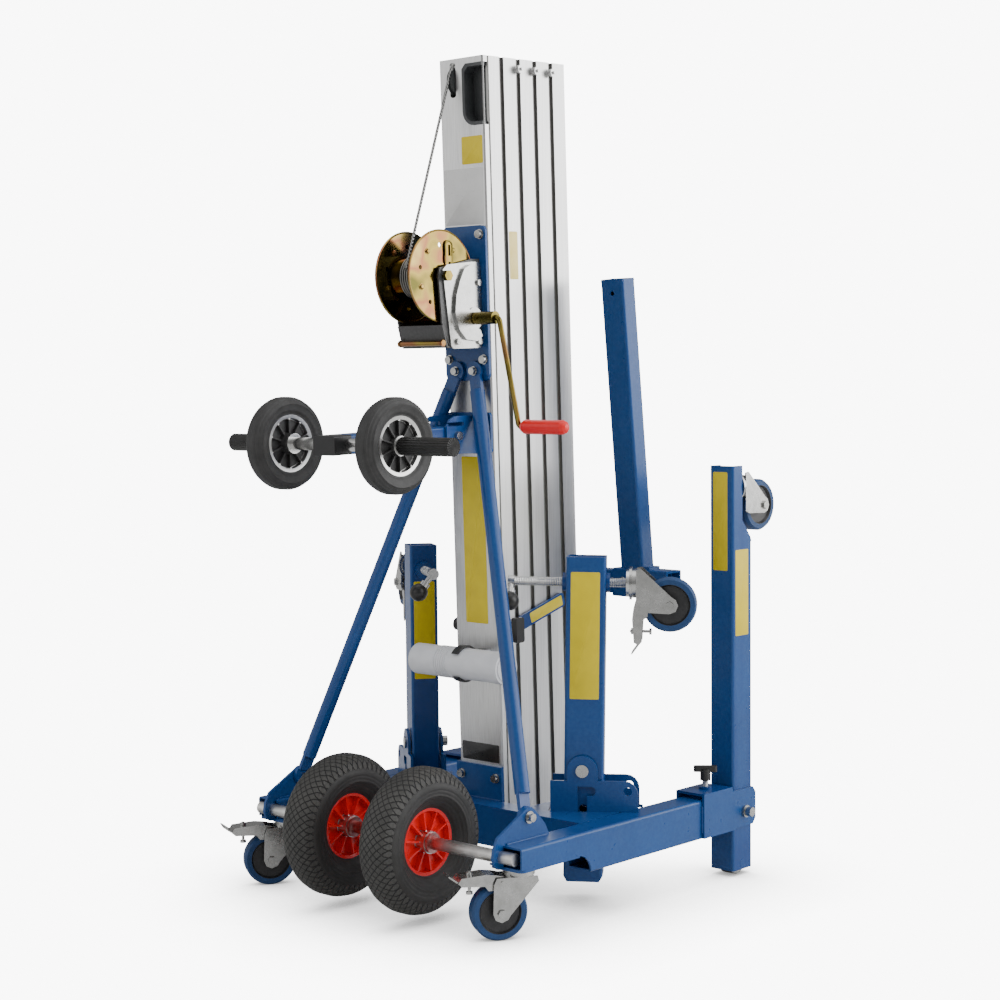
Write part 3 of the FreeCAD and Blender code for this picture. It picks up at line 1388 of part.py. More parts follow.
def carriage():
    """Plate on the last section with a cross bar for the forks."""
    y0 = mast_front_y
    plate = leaned(box(-half_width, half_width, y0, y0 + 8, bar_z - 150, bar_z + 18))
    rear = bar_y - bar_depth / 2
    # The cross bar is square to the ground, and the cheeks reach it from the leaning plate.
    plate_y = leaned_point(0, y0 + 4, bar_z).y
    cheek = [(plate_y, bar_z - 58), (plate_y, bar_z + 17), (rear, bar_z + 17), (rear, bar_z - 17)]
    cheeks = [slab_x(cheek, s * 40, s * 48) for s in (-1, 1)]
    bar = box(-bar_half, bar_half, rear, bar_y + bar_depth / 2, bar_z - bar_height / 2, bar_z + bar_height / 2)
    bar = round_edges(bar, 3, lambda e: along(e, AXIS_X))
    inner = box(-bar_half - 1, bar_half + 1, bar_y - bar_depth / 2 + 4, bar_y + bar_depth / 2 - 4,
                bar_z - bar_height / 2 + 4, bar_z + bar_height / 2 - 4)
    return joined([plate, bar.cut(inner)] + cheeks)


def fork():
    outer_h = bar_height + 2 * sleeve_wall + 2 * fork_play
    outer_d = bar_depth + 2 * sleeve_wall + 2 * fork_play
    sleeve = box(sleeve_inner_x, sleeve_outer_x, bar_y - outer_d / 2, bar_y + outer_d / 2,
                 bar_z - outer_h / 2, bar_z + outer_h / 2)
    sleeve = round_edges(sleeve, 4, lambda e: along(e, AXIS_X))
    hole_h = bar_height / 2 + fork_play
    hole_d = bar_depth / 2 + fork_play
    sleeve = sleeve.cut(box(sleeve_inner_x - 1, sleeve_outer_x + 1, bar_y - hole_d, bar_y + hole_d,
                            bar_z - hole_h, bar_z + hole_h))
    top_z = bar_z + outer_h / 2
    tube = moved(square_tube(fork_width, fork_depth, fork_length, 3.5, 5), fork_x, bar_y, top_z - 4)
    cap = box(fork_x - fork_width / 2 + 1, fork_x + fork_width / 2 - 1, bar_y - fork_depth / 2 + 1,
              bar_y + fork_depth / 2 - 1, top_z + fork_length - 10, top_z + fork_length - 6)
    hole = rod(V(fork_x, bar_y - 40, top_z + fork_length - 34), V(fork_x, bar_y + 40, top_z + fork_length - 34), 5)
    tube = tube.fuse(cap).cut(hole)
    tube = turned(tube, V(fork_x, bar_y, top_z), AXIS_X, fork_lean_deg)
    tube = tube.cut(box(0, 400, 0, 600, 0, top_z - sleeve_wall + 0.5))
    lug = box(fork_x + fork_width / 2 - 2, fork_x + fork_width / 2 + 16, bar_y - 18, bar_y + 18, top_z - 1, top_z + 6)
    pin = rod(V(sleeve_inner_x + 14, bar_y - outer_d / 2 - 10, bar_z), V(sleeve_inner_x + 14, bar_y - outer_d / 2 + 2, bar_z), 4)
    return joined([sleeve, tube, lug, pin])


def lock_bar():
    """Flat bar that keeps the sections together, with its through bolt and knobs."""
    x0 = half_width + 3
    angle = math.radians(lock_rise_deg)
    bar = box(x0, x0 + 5, lock_pivot_y - 16, lock_pivot_y + lock_bar_length,
              lock_pivot_z - lock_bar_width / 2, lock_pivot_z + lock_bar_width / 2)
    bar = round_edges(bar, 8, lambda e: along(e, AXIS_X))
    bar = turned(bar, V(0, lock_pivot_y, lock_pivot_z), AXIS_X, math.degrees(angle))
    stud = rod_x(-half_width - 24, x0 + 26, lock_pivot_y, lock_pivot_z, lock_stud_radius)
    knob = rod_x(-half_width - 26, -half_width - 8, lock_pivot_y, lock_pivot_z, 13.5)
    far_washer = rod_x(-half_width - 10, -half_width - 0.4, lock_pivot_y, lock_pivot_z, 10)
    washer = rod_x(half_width + 0.4, x0 + 0.5, lock_pivot_y, lock_pivot_z, 13)
    boss = rod_x(x0 + 5, x0 + 20, lock_pivot_y, lock_pivot_z, 11)
    wing = box(x0 + 16, x0 + 30, lock_pivot_y - 12, lock_pivot_y + 12, lock_pivot_z - 26, lock_pivot_z + 26)
    wing = round_edges(wing, 6, lambda e: along(e, AXIS_X))
    return fuse([bar, stud, washer, boss, wing, knob, far_washer])


add("carriage", carriage())
right_fork = fork()
add("fork_right", right_fork)
add("fork_left", mirrored(right_fork))
add("lock_bar", leaned(lock_bar()))

# Fasteners of the fixed frame, with the stabilisers' lock pins


def fasteners():
    solids = []
    for s in (-1, 1):
        solids.append(leaned(bolt_rear(s * foot_bolt_x, -foot_plate_thick, foot_bolt_z, plate_bolt_radius, 8, 20)))
    for x, z in winch_bolts:
        solids.append(leaned(bolt_rear(x, -winch_plate_thick, z, plate_bolt_radius, 8, 14)))
    for s in (-1, 1):
        x = s * strut_top_x
        solids.append(leaned(bolt_rear(x, -winch_plate_thick - strut_flat, strut_top_z, plate_bolt_radius, 7.5, 22)))
    low_x = strut_plate_outer_x
    right = fuse([rod_x(low_x - plate_thick - strut_flat - 8, low_x + 12, strut_bolt_y, strut_bolt_z, plate_bolt_radius),
                  rod_x(low_x, low_x + 3, strut_bolt_y, strut_bolt_z, 12),
                  rod_x(low_x + 3, low_x + 12, strut_bolt_y, strut_bolt_z, 8)])
    socket_x = beam_outer_x + leg_gap + socket_plate
    socket_in = beam_inner_x - leg_gap - socket_plate
    pivot = fuse([rod_x(socket_in - 9, socket_x + 19, pivot_y, front_pivot_z, front_pivot_radius),
                  rod_x(socket_x, socket_x + 5, pivot_y, front_pivot_z, 13),
                  rod_x(socket_x + 5, socket_x + 19, pivot_y, front_pivot_z, 10),
                  rod_x(socket_in - 9, socket_in, pivot_y, front_pivot_z, 13)])
    near = fuse([rod(V(0, -plate_out - 4, stab_lock_z), V(0, -plate_in + 2.4, stab_lock_z), stab_lock_radius),
                 rod(V(0, -plate_out - 4, stab_lock_z), V(0, -plate_out, stab_lock_z), stab_lock_radius + 2)])
    far = fuse([rod(V(0, plate_in - 2.4, stab_lock_z), V(0, plate_out + 14, stab_lock_z), stab_lock_radius),
                rod(V(0, plate_out, stab_lock_z), V(0, plate_out + 4, stab_lock_z), stab_lock_radius + 2)])
    pins = [in_stab_frame(near), in_stab_frame(far)]
    right_side = [right, pivot] + pins
    return solids + right_side + [mirrored(shape) for shape in right_side]


bolts = fasteners()
handle_pin = fuse([rod_x(-44, 44, handle_pivot_y, handle_pivot_z, handle_pin_radius),
                   rod_x(arm_width / 2 + 6, 44, handle_pivot_y, handle_pivot_z, 9),
                   rod_x(-44, -arm_width / 2 - 6, handle_pivot_y, handle_pivot_z, 9)])
bolts.append(leaned(handle_pin))
add("frame_bolts", Part.makeCompound(bolts))

# The origin is the middle of the footprint, on the floor.
whole = FreeCAD.BoundBox()
for shape in nodes.values():
    whole.add(shape.BoundBox)
shift_y = -(whole.YMin + whole.YMax) / 2
print("shift_y %.4f" % shift_y)
print("box x %.2f %.2f y %.2f %.2f z %.2f %.2f" % (
    whole.XMin, whole.XMax, whole.YMin + shift_y, whole.YMax + shift_y, whole.ZMin, whole.ZMax))

os.makedirs("parts", exist_ok=True)
for name, shape in nodes.items():
    placed = moved(shape, 0, shift_y, 0)
    if not placed.isValid():
        print("not valid:", name)
    placed.exportStep("parts/%s.step" % name)
print("nodes", len(nodes))
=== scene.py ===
import json
import math

import bmesh
import bpy
from mathutils import Matrix, Vector


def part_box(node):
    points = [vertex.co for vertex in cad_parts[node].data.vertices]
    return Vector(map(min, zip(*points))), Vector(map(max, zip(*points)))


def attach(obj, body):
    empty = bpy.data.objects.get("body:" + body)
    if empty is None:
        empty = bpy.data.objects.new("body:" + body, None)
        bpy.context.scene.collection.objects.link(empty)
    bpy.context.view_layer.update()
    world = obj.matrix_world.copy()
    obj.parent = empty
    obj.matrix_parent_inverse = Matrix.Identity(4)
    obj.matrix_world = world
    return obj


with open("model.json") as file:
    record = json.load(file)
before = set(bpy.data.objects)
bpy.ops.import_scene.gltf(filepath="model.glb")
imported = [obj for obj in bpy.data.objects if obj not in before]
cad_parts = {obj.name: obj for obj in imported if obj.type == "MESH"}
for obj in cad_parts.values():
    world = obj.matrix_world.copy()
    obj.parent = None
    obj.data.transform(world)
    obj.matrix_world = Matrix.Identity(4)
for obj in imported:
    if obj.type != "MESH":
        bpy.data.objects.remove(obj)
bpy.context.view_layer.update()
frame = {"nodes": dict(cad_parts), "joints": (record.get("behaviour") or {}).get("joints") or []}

nodes = frame["nodes"]
joint_of = {joint["name"]: joint for joint in frame["joints"]}
scene = bpy.context.scene
MM = 0.001
EAST = (1, 0, 0)
NORTH = (0, 1, 0)
SOUTH = (0, -1, 0)
UP = (0, 0, 1)

# The part's own sizes, in millimetres, as the CAD source has them.
# Y = 0 is the rear face of the mast at the floor; shift_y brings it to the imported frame.
axle_y = -316.0
mast_lean_deg = 1.78
mast_foot_y = -12.0
half_mast = 60.5
cross_tube_top_z = 184.0

# Right stabiliser: where its own frame stands, how it is turned and how it leans
stab_x = 228.0
stab_y = 40.0
stab_turn_deg = 36.0
stab_tilt_deg = 0.9
stab_pin_z = 97.0
stab_ball = (-153.0, -31.0, 609.0)

# Winch and document tube, in the mast's own frame
drum_y = -109.0
drum_z = 1270.0
tie_y = -117.5
tie_z = 1136.0
tube_y = -66.0
tube_z = 479.0

# Transport lock: its pivot in the mast's own frame and its angle
lock_pivot_y = 31.0
lock_pivot_z = 541.0
lock_rise_deg = 14.5

axle_low, axle_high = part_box("rear_axle")
shift_y = (axle_low.y + axle_high.y) / 2 / MM - axle_y


def shift(x, y, z):
    """The matrix that moves by so many millimetres."""
    return Matrix.Translation(Vector((x * MM, y * MM, z * MM)))


def turn(degrees, axis):
    """The matrix that turns about an axis through the origin."""
    return Matrix.Rotation(math.radians(degrees), 4, axis)


to_frame = shift(0, shift_y, 0)
mast_frame = to_frame @ shift(0, mast_foot_y, 0) @ turn(mast_lean_deg, "X")
lock_frame = mast_frame @ shift(0, lock_pivot_y, lock_pivot_z) @ turn(lock_rise_deg, "X")


def place(x, y, z):
    """A point of the base frame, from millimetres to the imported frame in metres."""
    return to_frame @ Vector((x * MM, y * MM, z * MM))


def mast_place(x, y, z):
    """A point of the leaning mast's frame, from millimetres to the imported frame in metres."""
    return mast_frame @ Vector((x * MM, y * MM, z * MM))


def stab_frame(side):
    """A stabiliser's own frame, u outward and z up the leg. The left is the right's mirror image."""
    about_pin = shift(0, 0, stab_pin_z)
    tilt = about_pin @ turn(stab_tilt_deg, "Y") @ about_pin.inverted()
    right = to_frame @ shift(stab_x, stab_y, 0) @ turn(stab_turn_deg, "Z") @ tilt
    if side == "right":
        return right
    return Matrix.Scale(-1, 4, Vector(EAST)) @ right


# Camera, solved from the photograph
camera_azimuth_deg = 42.157
camera_pitch_deg = 3.522
camera_roll_deg = -0.462
camera_place = (2816.0, -3065.2, 1063.5)
camera_lens_mm = 72.02
camera_sensor_mm = 36.0

camera = bpy.data.objects.new("camera", bpy.data.cameras.new("camera"))
scene.collection.objects.link(camera)
camera.data.lens = camera_lens_mm
camera.data.sensor_width = camera_sensor_mm
camera.data.clip_start = 0.1
camera.data.clip_end = 60.0
aim = turn(camera_azimuth_deg, "Z") @ turn(90 - camera_pitch_deg, "X") @ turn(camera_roll_deg, "Z")
camera.matrix_world = Matrix.Translation(place(*camera_place)) @ aim
scene.camera = camera

# Lights, in watts and metres: a key from the right, a weaker fill from the rear and a soft one from above
lights = [
    ("key_right", 62.0, (2.6, 3.0), (3.6, 0.6, 2.4), (0.0, 0.0, 0.7)),
    ("fill_rear", 15.0, (3.0, 2.0), (-0.6, -4.0, 2.0), (0.0, 0.0, 0.8)),
    ("top_soft", 34.0, (3.0, 3.0), (0.2, 0.0, 4.0), (0.0, 0.0, 0.0)),
]
for name, power, (width, height), where, target in lights:
    data = bpy.data.lights.new(name, "AREA")
    data.shape = "RECTANGLE"
    data.size = width
    data.size_y = height
    data.energy = power
    lamp = bpy.data.objects.new(name, data)
    scene.collection.objects.link(lamp)
    lamp.location = where
    lamp.rotation_mode = "QUATERNION"
    lamp.rotation_quaternion = (Vector(target) - Vector(where)).to_track_quat("-Z", "Y")

# Room: an even glow and brighter walls, each with its direction, strength and focus
backdrop_glow = 9.0
room_base = 0.26
room_walls = [
    ((0.67, 0.74, 0.12), 5.2, 6.0),
    ((-0.67, -0.74, 0.1), 1.05, 4.0),
    ((0.1, -0.2, 1.0), 0.7, 3.0),
]


def feed(tree, socket, source):
    """Links another node's output to a socket, or sets the socket to a number or a colour."""
    if hasattr(source, "is_output"):
        tree.links.new(source, socket)
    elif isinstance(source, tuple):
        socket.default_value = (*source, 1.0)
    else:
        socket.default_value = source


def math_node(tree, operation, a, b=0.0, c=0.0, clamp=False):
    node = tree.nodes.new("ShaderNodeMath")
    node.operation = operation
    node.use_clamp = clamp
    for socket, source in zip(node.inputs, (a, b, c)):
        feed(tree, socket, source)
    return node.outputs[0]


def vector_node(tree, operation, source, other=(0, 0, 0)):
    """A vector operation on a node's output and a fixed vector."""
    node = tree.nodes.new("ShaderNodeVectorMath")
    node.operation = operation
    tree.links.new(source, node.inputs[0])
    node.inputs[1].default_value = other
    return node.outputs


def white_room():
    """Bright soft walls that the object mirrors, and a white backdrop that only the camera sees."""
    world = bpy.data.worlds.new("white_room")
    scene.world = world
    world.use_nodes = True
    tree = world.node_tree
    look = tree.nodes.new("ShaderNodeTexCoord").outputs["Generated"]
    total = room_base
    for way, strength, focus in room_walls:
        facing = vector_node(tree, "DOT_PRODUCT", look, Vector(way).normalized())["Value"]
        lobe = math_node(tree, "POWER", math_node(tree, "MAXIMUM", facing), focus)
        total = math_node(tree, "ADD", math_node(tree, "MULTIPLY", lobe, strength), total)
    seen = tree.nodes.new("ShaderNodeLightPath").outputs["Is Camera Ray"]
    hidden = math_node(tree, "MULTIPLY", total, math_node(tree, "SUBTRACT", 1.0, seen))
    shown = math_node(tree, "MULTIPLY", seen, backdrop_glow)
    background = tree.nodes["Background"]
    feed(tree, background.inputs["Color"], (1.0, 1.0, 1.0))
    feed(tree, background.inputs["Strength"], math_node(tree, "ADD", hidden, shown))


white_room()


class Shader:
    """Small helper that builds one procedural material, node by node."""

    def __init__(self, name, metallic=0.0, roughness=0.5, coat=0.0):
        self.material = bpy.data.materials.new(name)
        self.material.use_nodes = True
        self.tree = self.material.node_tree
        self.bsdf = self.tree.nodes["Principled BSDF"]
        self.bsdf.inputs["Metallic"].default_value = metallic
        self.bsdf.inputs["Roughness"].default_value = roughness
        self.bsdf.inputs["Coat Weight"].default_value = coat
        self.bsdf.inputs["Coat Roughness"].default_value = 0.08
        self.coords = self.node("TexCoord").outputs["Object"]

    def node(self, kind):
        return self.tree.nodes.new("ShaderNode" + kind)

    def link(self, source, socket):
        self.tree.links.new(source, socket)

    def math(self, operation, a, b=0.0, c=0.0, clamp=False):
        return math_node(self.tree, operation, a, b, c, clamp)

    def mapping(self, scale=(1, 1, 1), offset=(0, 0, 0)):
        node = self.node("Mapping")
        node.inputs["Scale"].default_value = scale
        node.inputs["Location"].default_value = offset
        self.link(self.coords, node.inputs["Vector"])
        return node.outputs["Vector"]

    def noise(self, scale, detail=3.0, roughness=0.5, stretch=(1, 1, 1)):
        node = self.node("TexNoise")
        node.inputs["Scale"].default_value = scale
        node.inputs["Detail"].default_value = detail
        node.inputs["Roughness"].default_value = roughness
        self.link(self.mapping(scale=stretch), node.inputs["Vector"])
        return node.outputs["Fac"]

    def ramp(self, factor, stops):
        """Colours by a 0 to 1 factor; stops is a list of (position, colour)."""
        node = self.node("ValToRGB")
        elements = node.color_ramp.elements
        while len(elements) < len(stops):
            elements.new(0.5)
        for element, (position, colour) in zip(elements, stops):
            element.position = position
            element.color = (*colour, 1.0)
        self.link(factor, node.inputs["Fac"])
        return node.outputs["Color"]

    def cloudy(self, scale, dark, light):
        """Two tones that drift into each other with a noise of this scale."""
        return self.ramp(self.noise(scale), [(0.3, dark), (0.7, light)])

    def mix(self, factor, a, b):
        """Mixes two colours, which the node takes at its sockets 6 and 7 and gives at its output 2."""
        node = self.node("Mix")
        node.data_type = "RGBA"
        for socket, source in ((0, factor), (6, a), (7, b)):
            feed(self.tree, node.inputs[socket], source)
        return node.outputs[2]

    def spread(self, factor, low, high):
        """Brings a 0 to 1 factor to the range low to high."""
        return self.math("MULTIPLY_ADD", factor, high - low, low)

    def axes(self):
        """The outputs X, Y and Z of the object's coordinates."""
        node = self.node("SeparateXYZ")
        self.link(self.coords, node.inputs[0])
        return node.outputs

    def along(self, axis):
        """How far a point lies along a unit vector."""
        return vector_node(self.tree, "DOT_PRODUCT", self.coords, axis)["Value"]

    def distance(self, centre, flat=(1, 1, 1)):
        """Distance from a point, or from an axis through it where flat is 0 along that axis."""
        offset = [-c * f for c, f in zip(centre, flat)]
        return vector_node(self.tree, "LENGTH", self.mapping(flat, offset))["Value"]

    def axis_distance(self, centre, axis):
        """Distance from the line through centre along the unit vector axis."""
        offset = self.mapping(offset=[-c for c in centre])
        cross = vector_node(self.tree, "CROSS_PRODUCT", offset, axis)["Vector"]
        return vector_node(self.tree, "LENGTH", cross)["Value"]

    def angle(self, centre):
        """Angle about the X axis through centre, in radians."""
        parts = self.axes()
        over = self.math("SUBTRACT", parts["Z"], centre[2])
        under = self.math("SUBTRACT", parts["Y"], centre[1])
        return self.math("ARCTAN2", over, under)

    def inside(self, value, low, high):
        """1 where low < value < high, otherwise 0."""
        above = self.math("GREATER_THAN", value, low)
        below = self.math("LESS_THAN", value, high)
        return self.math("MULTIPLY", above, below)

    def wave(self, value, length_mm):
        """A sine of the value, with one wave for each length in millimetres."""
        return self.math("SINE", self.math("MULTIPLY", value, 2 * math.pi / (length_mm * MM)))

    def bump(self, height, strength=0.2, distance=0.001):
        node = self.node("Bump")
        node.inputs["Strength"].default_value = strength
        node.inputs["Distance"].default_value = distance
        self.link(height, node.inputs["Height"])
        self.link(node.outputs["Normal"], self.bsdf.inputs["Normal"])

    def colour(self, source):
        self.link(source, self.bsdf.inputs["Base Color"])

    def rough(self, source):
        self.link(source, self.bsdf.inputs["Roughness"])

    def metal_where(self, mask):
        self.link(mask, self.bsdf.inputs["Metallic"])

    def worn(self, base, worn, amount=0.5):
        """Colour mixed to a worn tone along sharp edges, broken up by noise."""
        sharp_from = 0.52
        sharp_gain = 14.0
        edge = self.math("SUBTRACT", self.node("NewGeometry").outputs["Pointiness"], sharp_from)
        edge = self.math("MULTIPLY", edge, sharp_gain, clamp=True)
        broken = self.math("MULTIPLY", edge, self.noise(160.0, 4.0))
        return self.mix(self.math("MULTIPLY", broken, amount, clamp=True), base, worn)


# Tones that several materials share
deep_black = (0.012, 0.012, 0.012)
knob_black = (0.014, 0.014, 0.014)
turned_steel = (0.55, 0.55, 0.54)
zinc_dark = (0.5, 0.5, 0.49)
zinc_light = (0.68, 0.68, 0.67)
dull_steel = (0.34, 0.34, 0.33)


def blue_paint(name="blue_powder_coat", black_where=None):
    """Powder coat; black_where picks the places that are black plastic instead."""
    s = Shader(name, roughness=0.34, coat=0.06)
    s.bsdf.inputs["Specular IOR Level"].default_value = 0.34
    painted = s.worn(s.cloudy(7.0, (0.0, 0.036, 0.17), (0.0, 0.046, 0.205)), (0.04, 0.16, 0.38), 0.3)
    if black_where:
        painted = s.mix(black_where(s), painted, (0.014, 0.014, 0.015))
    s.colour(painted)
    s.rough(s.spread(s.noise(60.0), 0.24, 0.36))
    s.bump(s.noise(420.0, 2.0), 0.10, 0.0004)
    return s.material


def lock_knobs(s):
    """The lock bar's wing knob and the knob at its far end."""
    wing_from = half_mast + 18.7
    far_from = half_mast + 7.9
    x = s.axes()["X"]
    wing = s.math("GREATER_THAN", x, wing_from * MM)
    far_knob = s.math("LESS_THAN", x, -far_from * MM)
    return s.math("MAXIMUM", wing, far_knob)


def arm_cap(s):
    """The plastic cap at the rear end of the handle's arm."""
    cap_y = -411.0
    return s.math("LESS_THAN", s.axes()["Y"], place(0, cap_y, 0).y)


def zinc():
    s = Shader("bright_zinc", metallic=1.0, roughness=0.3)
    spangle = s.noise(46.0, 4.0, 0.7)
    s.colour(s.ramp(spangle, [(0.25, dull_steel), (0.75, (0.54, 0.54, 0.53))]))
    s.rough(s.spread(spangle, 0.16, 0.36))
    s.bump(s.noise(600.0, 2.0), 0.08, 0.0003)
    return s.material


def gold_tones(s, scale=9.0):
    """Yellow passivated zinc: gold that drifts to green and pink."""
    green = (0.09, 0.08, 0.02)
    gold_tone = (0.26, 0.19, 0.045)
    pink = (0.24, 0.10, 0.05)
    pale_gold = (0.36, 0.26, 0.08)
    drift = s.noise(scale, 2.0)
    return s.ramp(drift, [(0.32, green), (0.45, gold_tone), (0.56, pink), (0.68, pale_gold)])


def gold_zinc():
    s = Shader("yellow_zinc", metallic=1.0, roughness=0.22)
    s.colour(gold_tones(s))
    s.rough(s.spread(s.noise(90.0), 0.14, 0.3))
    s.bump(s.noise(500.0, 2.0), 0.05, 0.0003)
    return s.material


def drum_metal():
    """Gold flanges, a grey steel gear at the far side and the rope's turns round the core."""
    turns_x = (-43.0, -1.0)
    turns_radius = (38.5, 45.0)
    rope_pitch = 6.0
    lay_by_radius = 9000.0
    lay_by_depth = 3500.0
    gear_to_x = -66.0
    s = Shader("drum_yellow_zinc_and_rope", metallic=1.0, roughness=0.2)
    parts = s.axes()
    radius = s.distance(mast_place(0, drum_y, drum_z), (0, 1, 1))
    across = s.inside(parts["X"], turns_x[0] * MM, turns_x[1] * MM)
    turns = s.math("MULTIPLY", across, s.inside(radius, turns_radius[0] * MM, turns_radius[1] * MM))
    strands = s.wave(parts["X"], rope_pitch)
    depth = s.math("MULTIPLY", parts["Y"], lay_by_depth)
    lay = s.math("SINE", s.math("MULTIPLY_ADD", radius, lay_by_radius, depth))
    rope = s.ramp(s.math("MULTIPLY_ADD", strands, 0.5, 0.5), [(0.0, (0.03, 0.03, 0.03)), (0.6, dull_steel)])
    gear = s.math("LESS_THAN", parts["X"], gear_to_x * MM)
    steel = s.cloudy(30.0, (0.10, 0.10, 0.09), (0.2, 0.19, 0.17))
    body = s.mix(gear, gold_tones(s, 13.0), steel)
    s.colour(s.mix(turns, body, rope))
    s.rough(s.spread(turns, 0.13, 0.42))
    s.bump(s.math("MULTIPLY", turns, s.math("MULTIPLY_ADD", lay, 0.1, strands)), 0.8, 0.0015)
    return s.material


def aluminium():
    """Drawn profile with lines along it, and painted shade on the upright faces in its side grooves."""
    groove_from = half_mast - 6.5
    groove_to = half_mast - 0.6
    rear_face_margin = 2.0
    s = Shader("drawn_aluminium", metallic=1.0, roughness=0.32)
    lines = s.noise(22.0, 5.0, 0.6, stretch=(26.0, 26.0, 0.25))
    blotch = s.noise(5.0, 3.0, 0.55, stretch=(1, 1, 0.5))
    tone = s.math("MULTIPLY_ADD", lines, 0.55, s.math("MULTIPLY", blotch, 0.45))
    dull = (0.47, 0.47, 0.46)
    clean = (0.64, 0.64, 0.635)
    bright = (0.80, 0.80, 0.795)
    surface = s.ramp(tone, [(0.28, dull), (0.5, clean), (0.72, bright)])
    forward = mast_frame.col[1].to_3d()
    rear_face = mast_frame.translation.dot(forward) + rear_face_margin * MM
    past_rear = s.math("GREATER_THAN", s.along(forward), rear_face)
    facing = s.node("SeparateXYZ")
    s.link(s.node("NewGeometry").outputs["True Normal"], facing.inputs[0])
    upright = s.math("LESS_THAN", s.math("ABSOLUTE", facing.outputs["Z"]), 0.5)
    # Painted shade: the upright faces inside the side grooves, in front of the rear face, take a darker
    # grey.
    groove = s.inside(s.math("ABSOLUTE", s.axes()["X"]), groove_from * MM, groove_to * MM)
    groove = s.math("MULTIPLY", groove, s.math("MULTIPLY", upright, past_rear))
    s.colour(s.mix(groove, surface, (0.30, 0.30, 0.29)))
    s.rough(s.spread(tone, 0.24, 0.46))
    s.bump(lines, 0.12, 0.0003)
    return s.material


def black_paint():
    s = Shader("satin_black", roughness=0.42, coat=0.1)
    s.colour(s.worn(s.cloudy(12.0, (0.012, 0.012, 0.013), (0.026, 0.026, 0.028)), (0.16, 0.16, 0.16), 0.4))
    s.rough(s.spread(s.noise(80.0), 0.34, 0.5))
    s.bump(s.noise(380.0, 2.0), 0.12, 0.0004)
    return s.material


def plastic(name, dark, light, roughness=0.45):
    s = Shader(name, roughness=roughness)
    s.colour(s.cloudy(24.0, dark, light))
    s.rough(s.spread(s.noise(130.0), roughness - 0.08, roughness + 0.08))
    s.bump(s.noise(900.0, 2.0), 0.15, 0.0003)
    return s.material


def rope_steel():
    """Steel rope with its twisted strands as bands."""
    twist_up = 900.0
    twist_across = 1500.0
    s = Shader("twisted_steel_rope", metallic=1.0, roughness=0.42)
    parts = s.axes()
    across = s.math("MULTIPLY", parts["X"], twist_across)
    twist = s.math("SINE", s.math("MULTIPLY_ADD", parts["Z"], twist_up, across))
    band = s.math("MULTIPLY_ADD", twist, 0.5, 0.5)
    s.colour(s.ramp(band, [(0.1, (0.12, 0.12, 0.12)), (0.6, dull_steel)]))
    s.rough(s.spread(s.noise(200.0), 0.3, 0.5))
    s.bump(band, 0.8, 0.001)
    return s.material


def axle_metal():
    """Bare steel axle with a little red overspray beside the wheels."""
    spray_ends = 178.0
    spray_width = 26.0
    s = Shader("axle_bare_steel", metallic=1.0, roughness=0.34)
    across = s.math("ABSOLUTE", s.axes()["X"])
    steel = s.ramp(s.noise(26.0, 5.0, 0.6), [(0.3, (0.46, 0.45, 0.44)), (0.7, (0.72, 0.71, 0.69))])
    spray = s.math("DIVIDE", s.math("SUBTRACT", spray_ends * MM, across), spray_width * MM, clamp=True)
    spray = s.math("MULTIPLY", spray, s.noise(120.0, 4.0))
    s.colour(s.mix(s.math("MULTIPLY", spray, 1.3, clamp=True), steel, (0.36, 0.02, 0.015)))
    s.rough(s.spread(s.noise(120.0), 0.26, 0.46))
    s.bump(s.noise(300.0), 0.12, 0.0003)
    return s.material


def tube_plastic():
    """Pale grey tube with the black clip round it."""
    clip_x = (8.0, 36.0)
    tube_radius = 33.2
    s = Shader("document_tube_plastic", roughness=0.4)
    near = s.inside(s.axes()["X"], clip_x[0] * MM, clip_x[1] * MM)
    radius = s.distance(mast_place(0, tube_y, tube_z), (0, 1, 1))
    clip = s.math("MULTIPLY", near, s.math("GREATER_THAN", radius, tube_radius * MM))
    shell = s.cloudy(30.0, (0.62, 0.63, 0.66), (0.70, 0.71, 0.74))
    s.colour(s.mix(clip, shell, deep_black))
    s.rough(s.spread(s.noise(150.0), 0.32, 0.48))
    s.bump(s.noise(800.0, 2.0), 0.1, 0.0003)
    return s.material


def bar_metal():
    """Zinc bar with black ribbed grips over its ends."""
    grip_from = 174.5
    flute_count = 22.0
    s = Shader("handle_bar_zinc_and_grips", roughness=0.35)
    grip = s.math("GREATER_THAN", s.math("ABSOLUTE", s.axes()["X"]), grip_from * MM)
    steel = s.cloudy(50.0, zinc_dark, zinc_light)
    rubber = s.cloudy(80.0, (0.01, 0.01, 0.01), (0.02, 0.02, 0.02))
    s.colour(s.mix(grip, steel, rubber))
    s.metal_where(s.math("SUBTRACT", 1.0, grip))
    s.rough(s.spread(grip, 0.24, 0.55))
    low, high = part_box("handle_bar")
    flutes = s.math("SINE", s.math("MULTIPLY", s.angle((low + high) / 2), flute_count))
    s.bump(s.math("MULTIPLY", grip, flutes), 1.0, 0.002)
    return s.material


def caster_rubber(kind, side):
    """Black core inside an elastic blue tyre, by distance from the wheel's axle."""
    core_radius = 41.5
    ring_rate = 2300.0
    joint = joint_of[kind + "_roll_" + side]
    s = Shader(kind + "_rubber_" + side, roughness=0.5)
    radius = s.axis_distance(joint["pos_m"], joint["axis"])
    tread = s.math("GREATER_THAN", radius, core_radius * MM)
    tyre = s.cloudy(40.0, (0.002, 0.034, 0.12), (0.004, 0.046, 0.155))
    core = s.cloudy(60.0, (0.012, 0.012, 0.013), (0.024, 0.024, 0.026))
    s.colour(s.mix(tread, core, tyre))
    s.rough(s.spread(tread, 0.38, 0.58))
    rings = s.math("SINE", s.math("MULTIPLY", radius, ring_rate))
    s.bump(s.math("MULTIPLY_ADD", s.noise(500.0), 0.6, rings), 0.1, 0.0006)
    return s.material


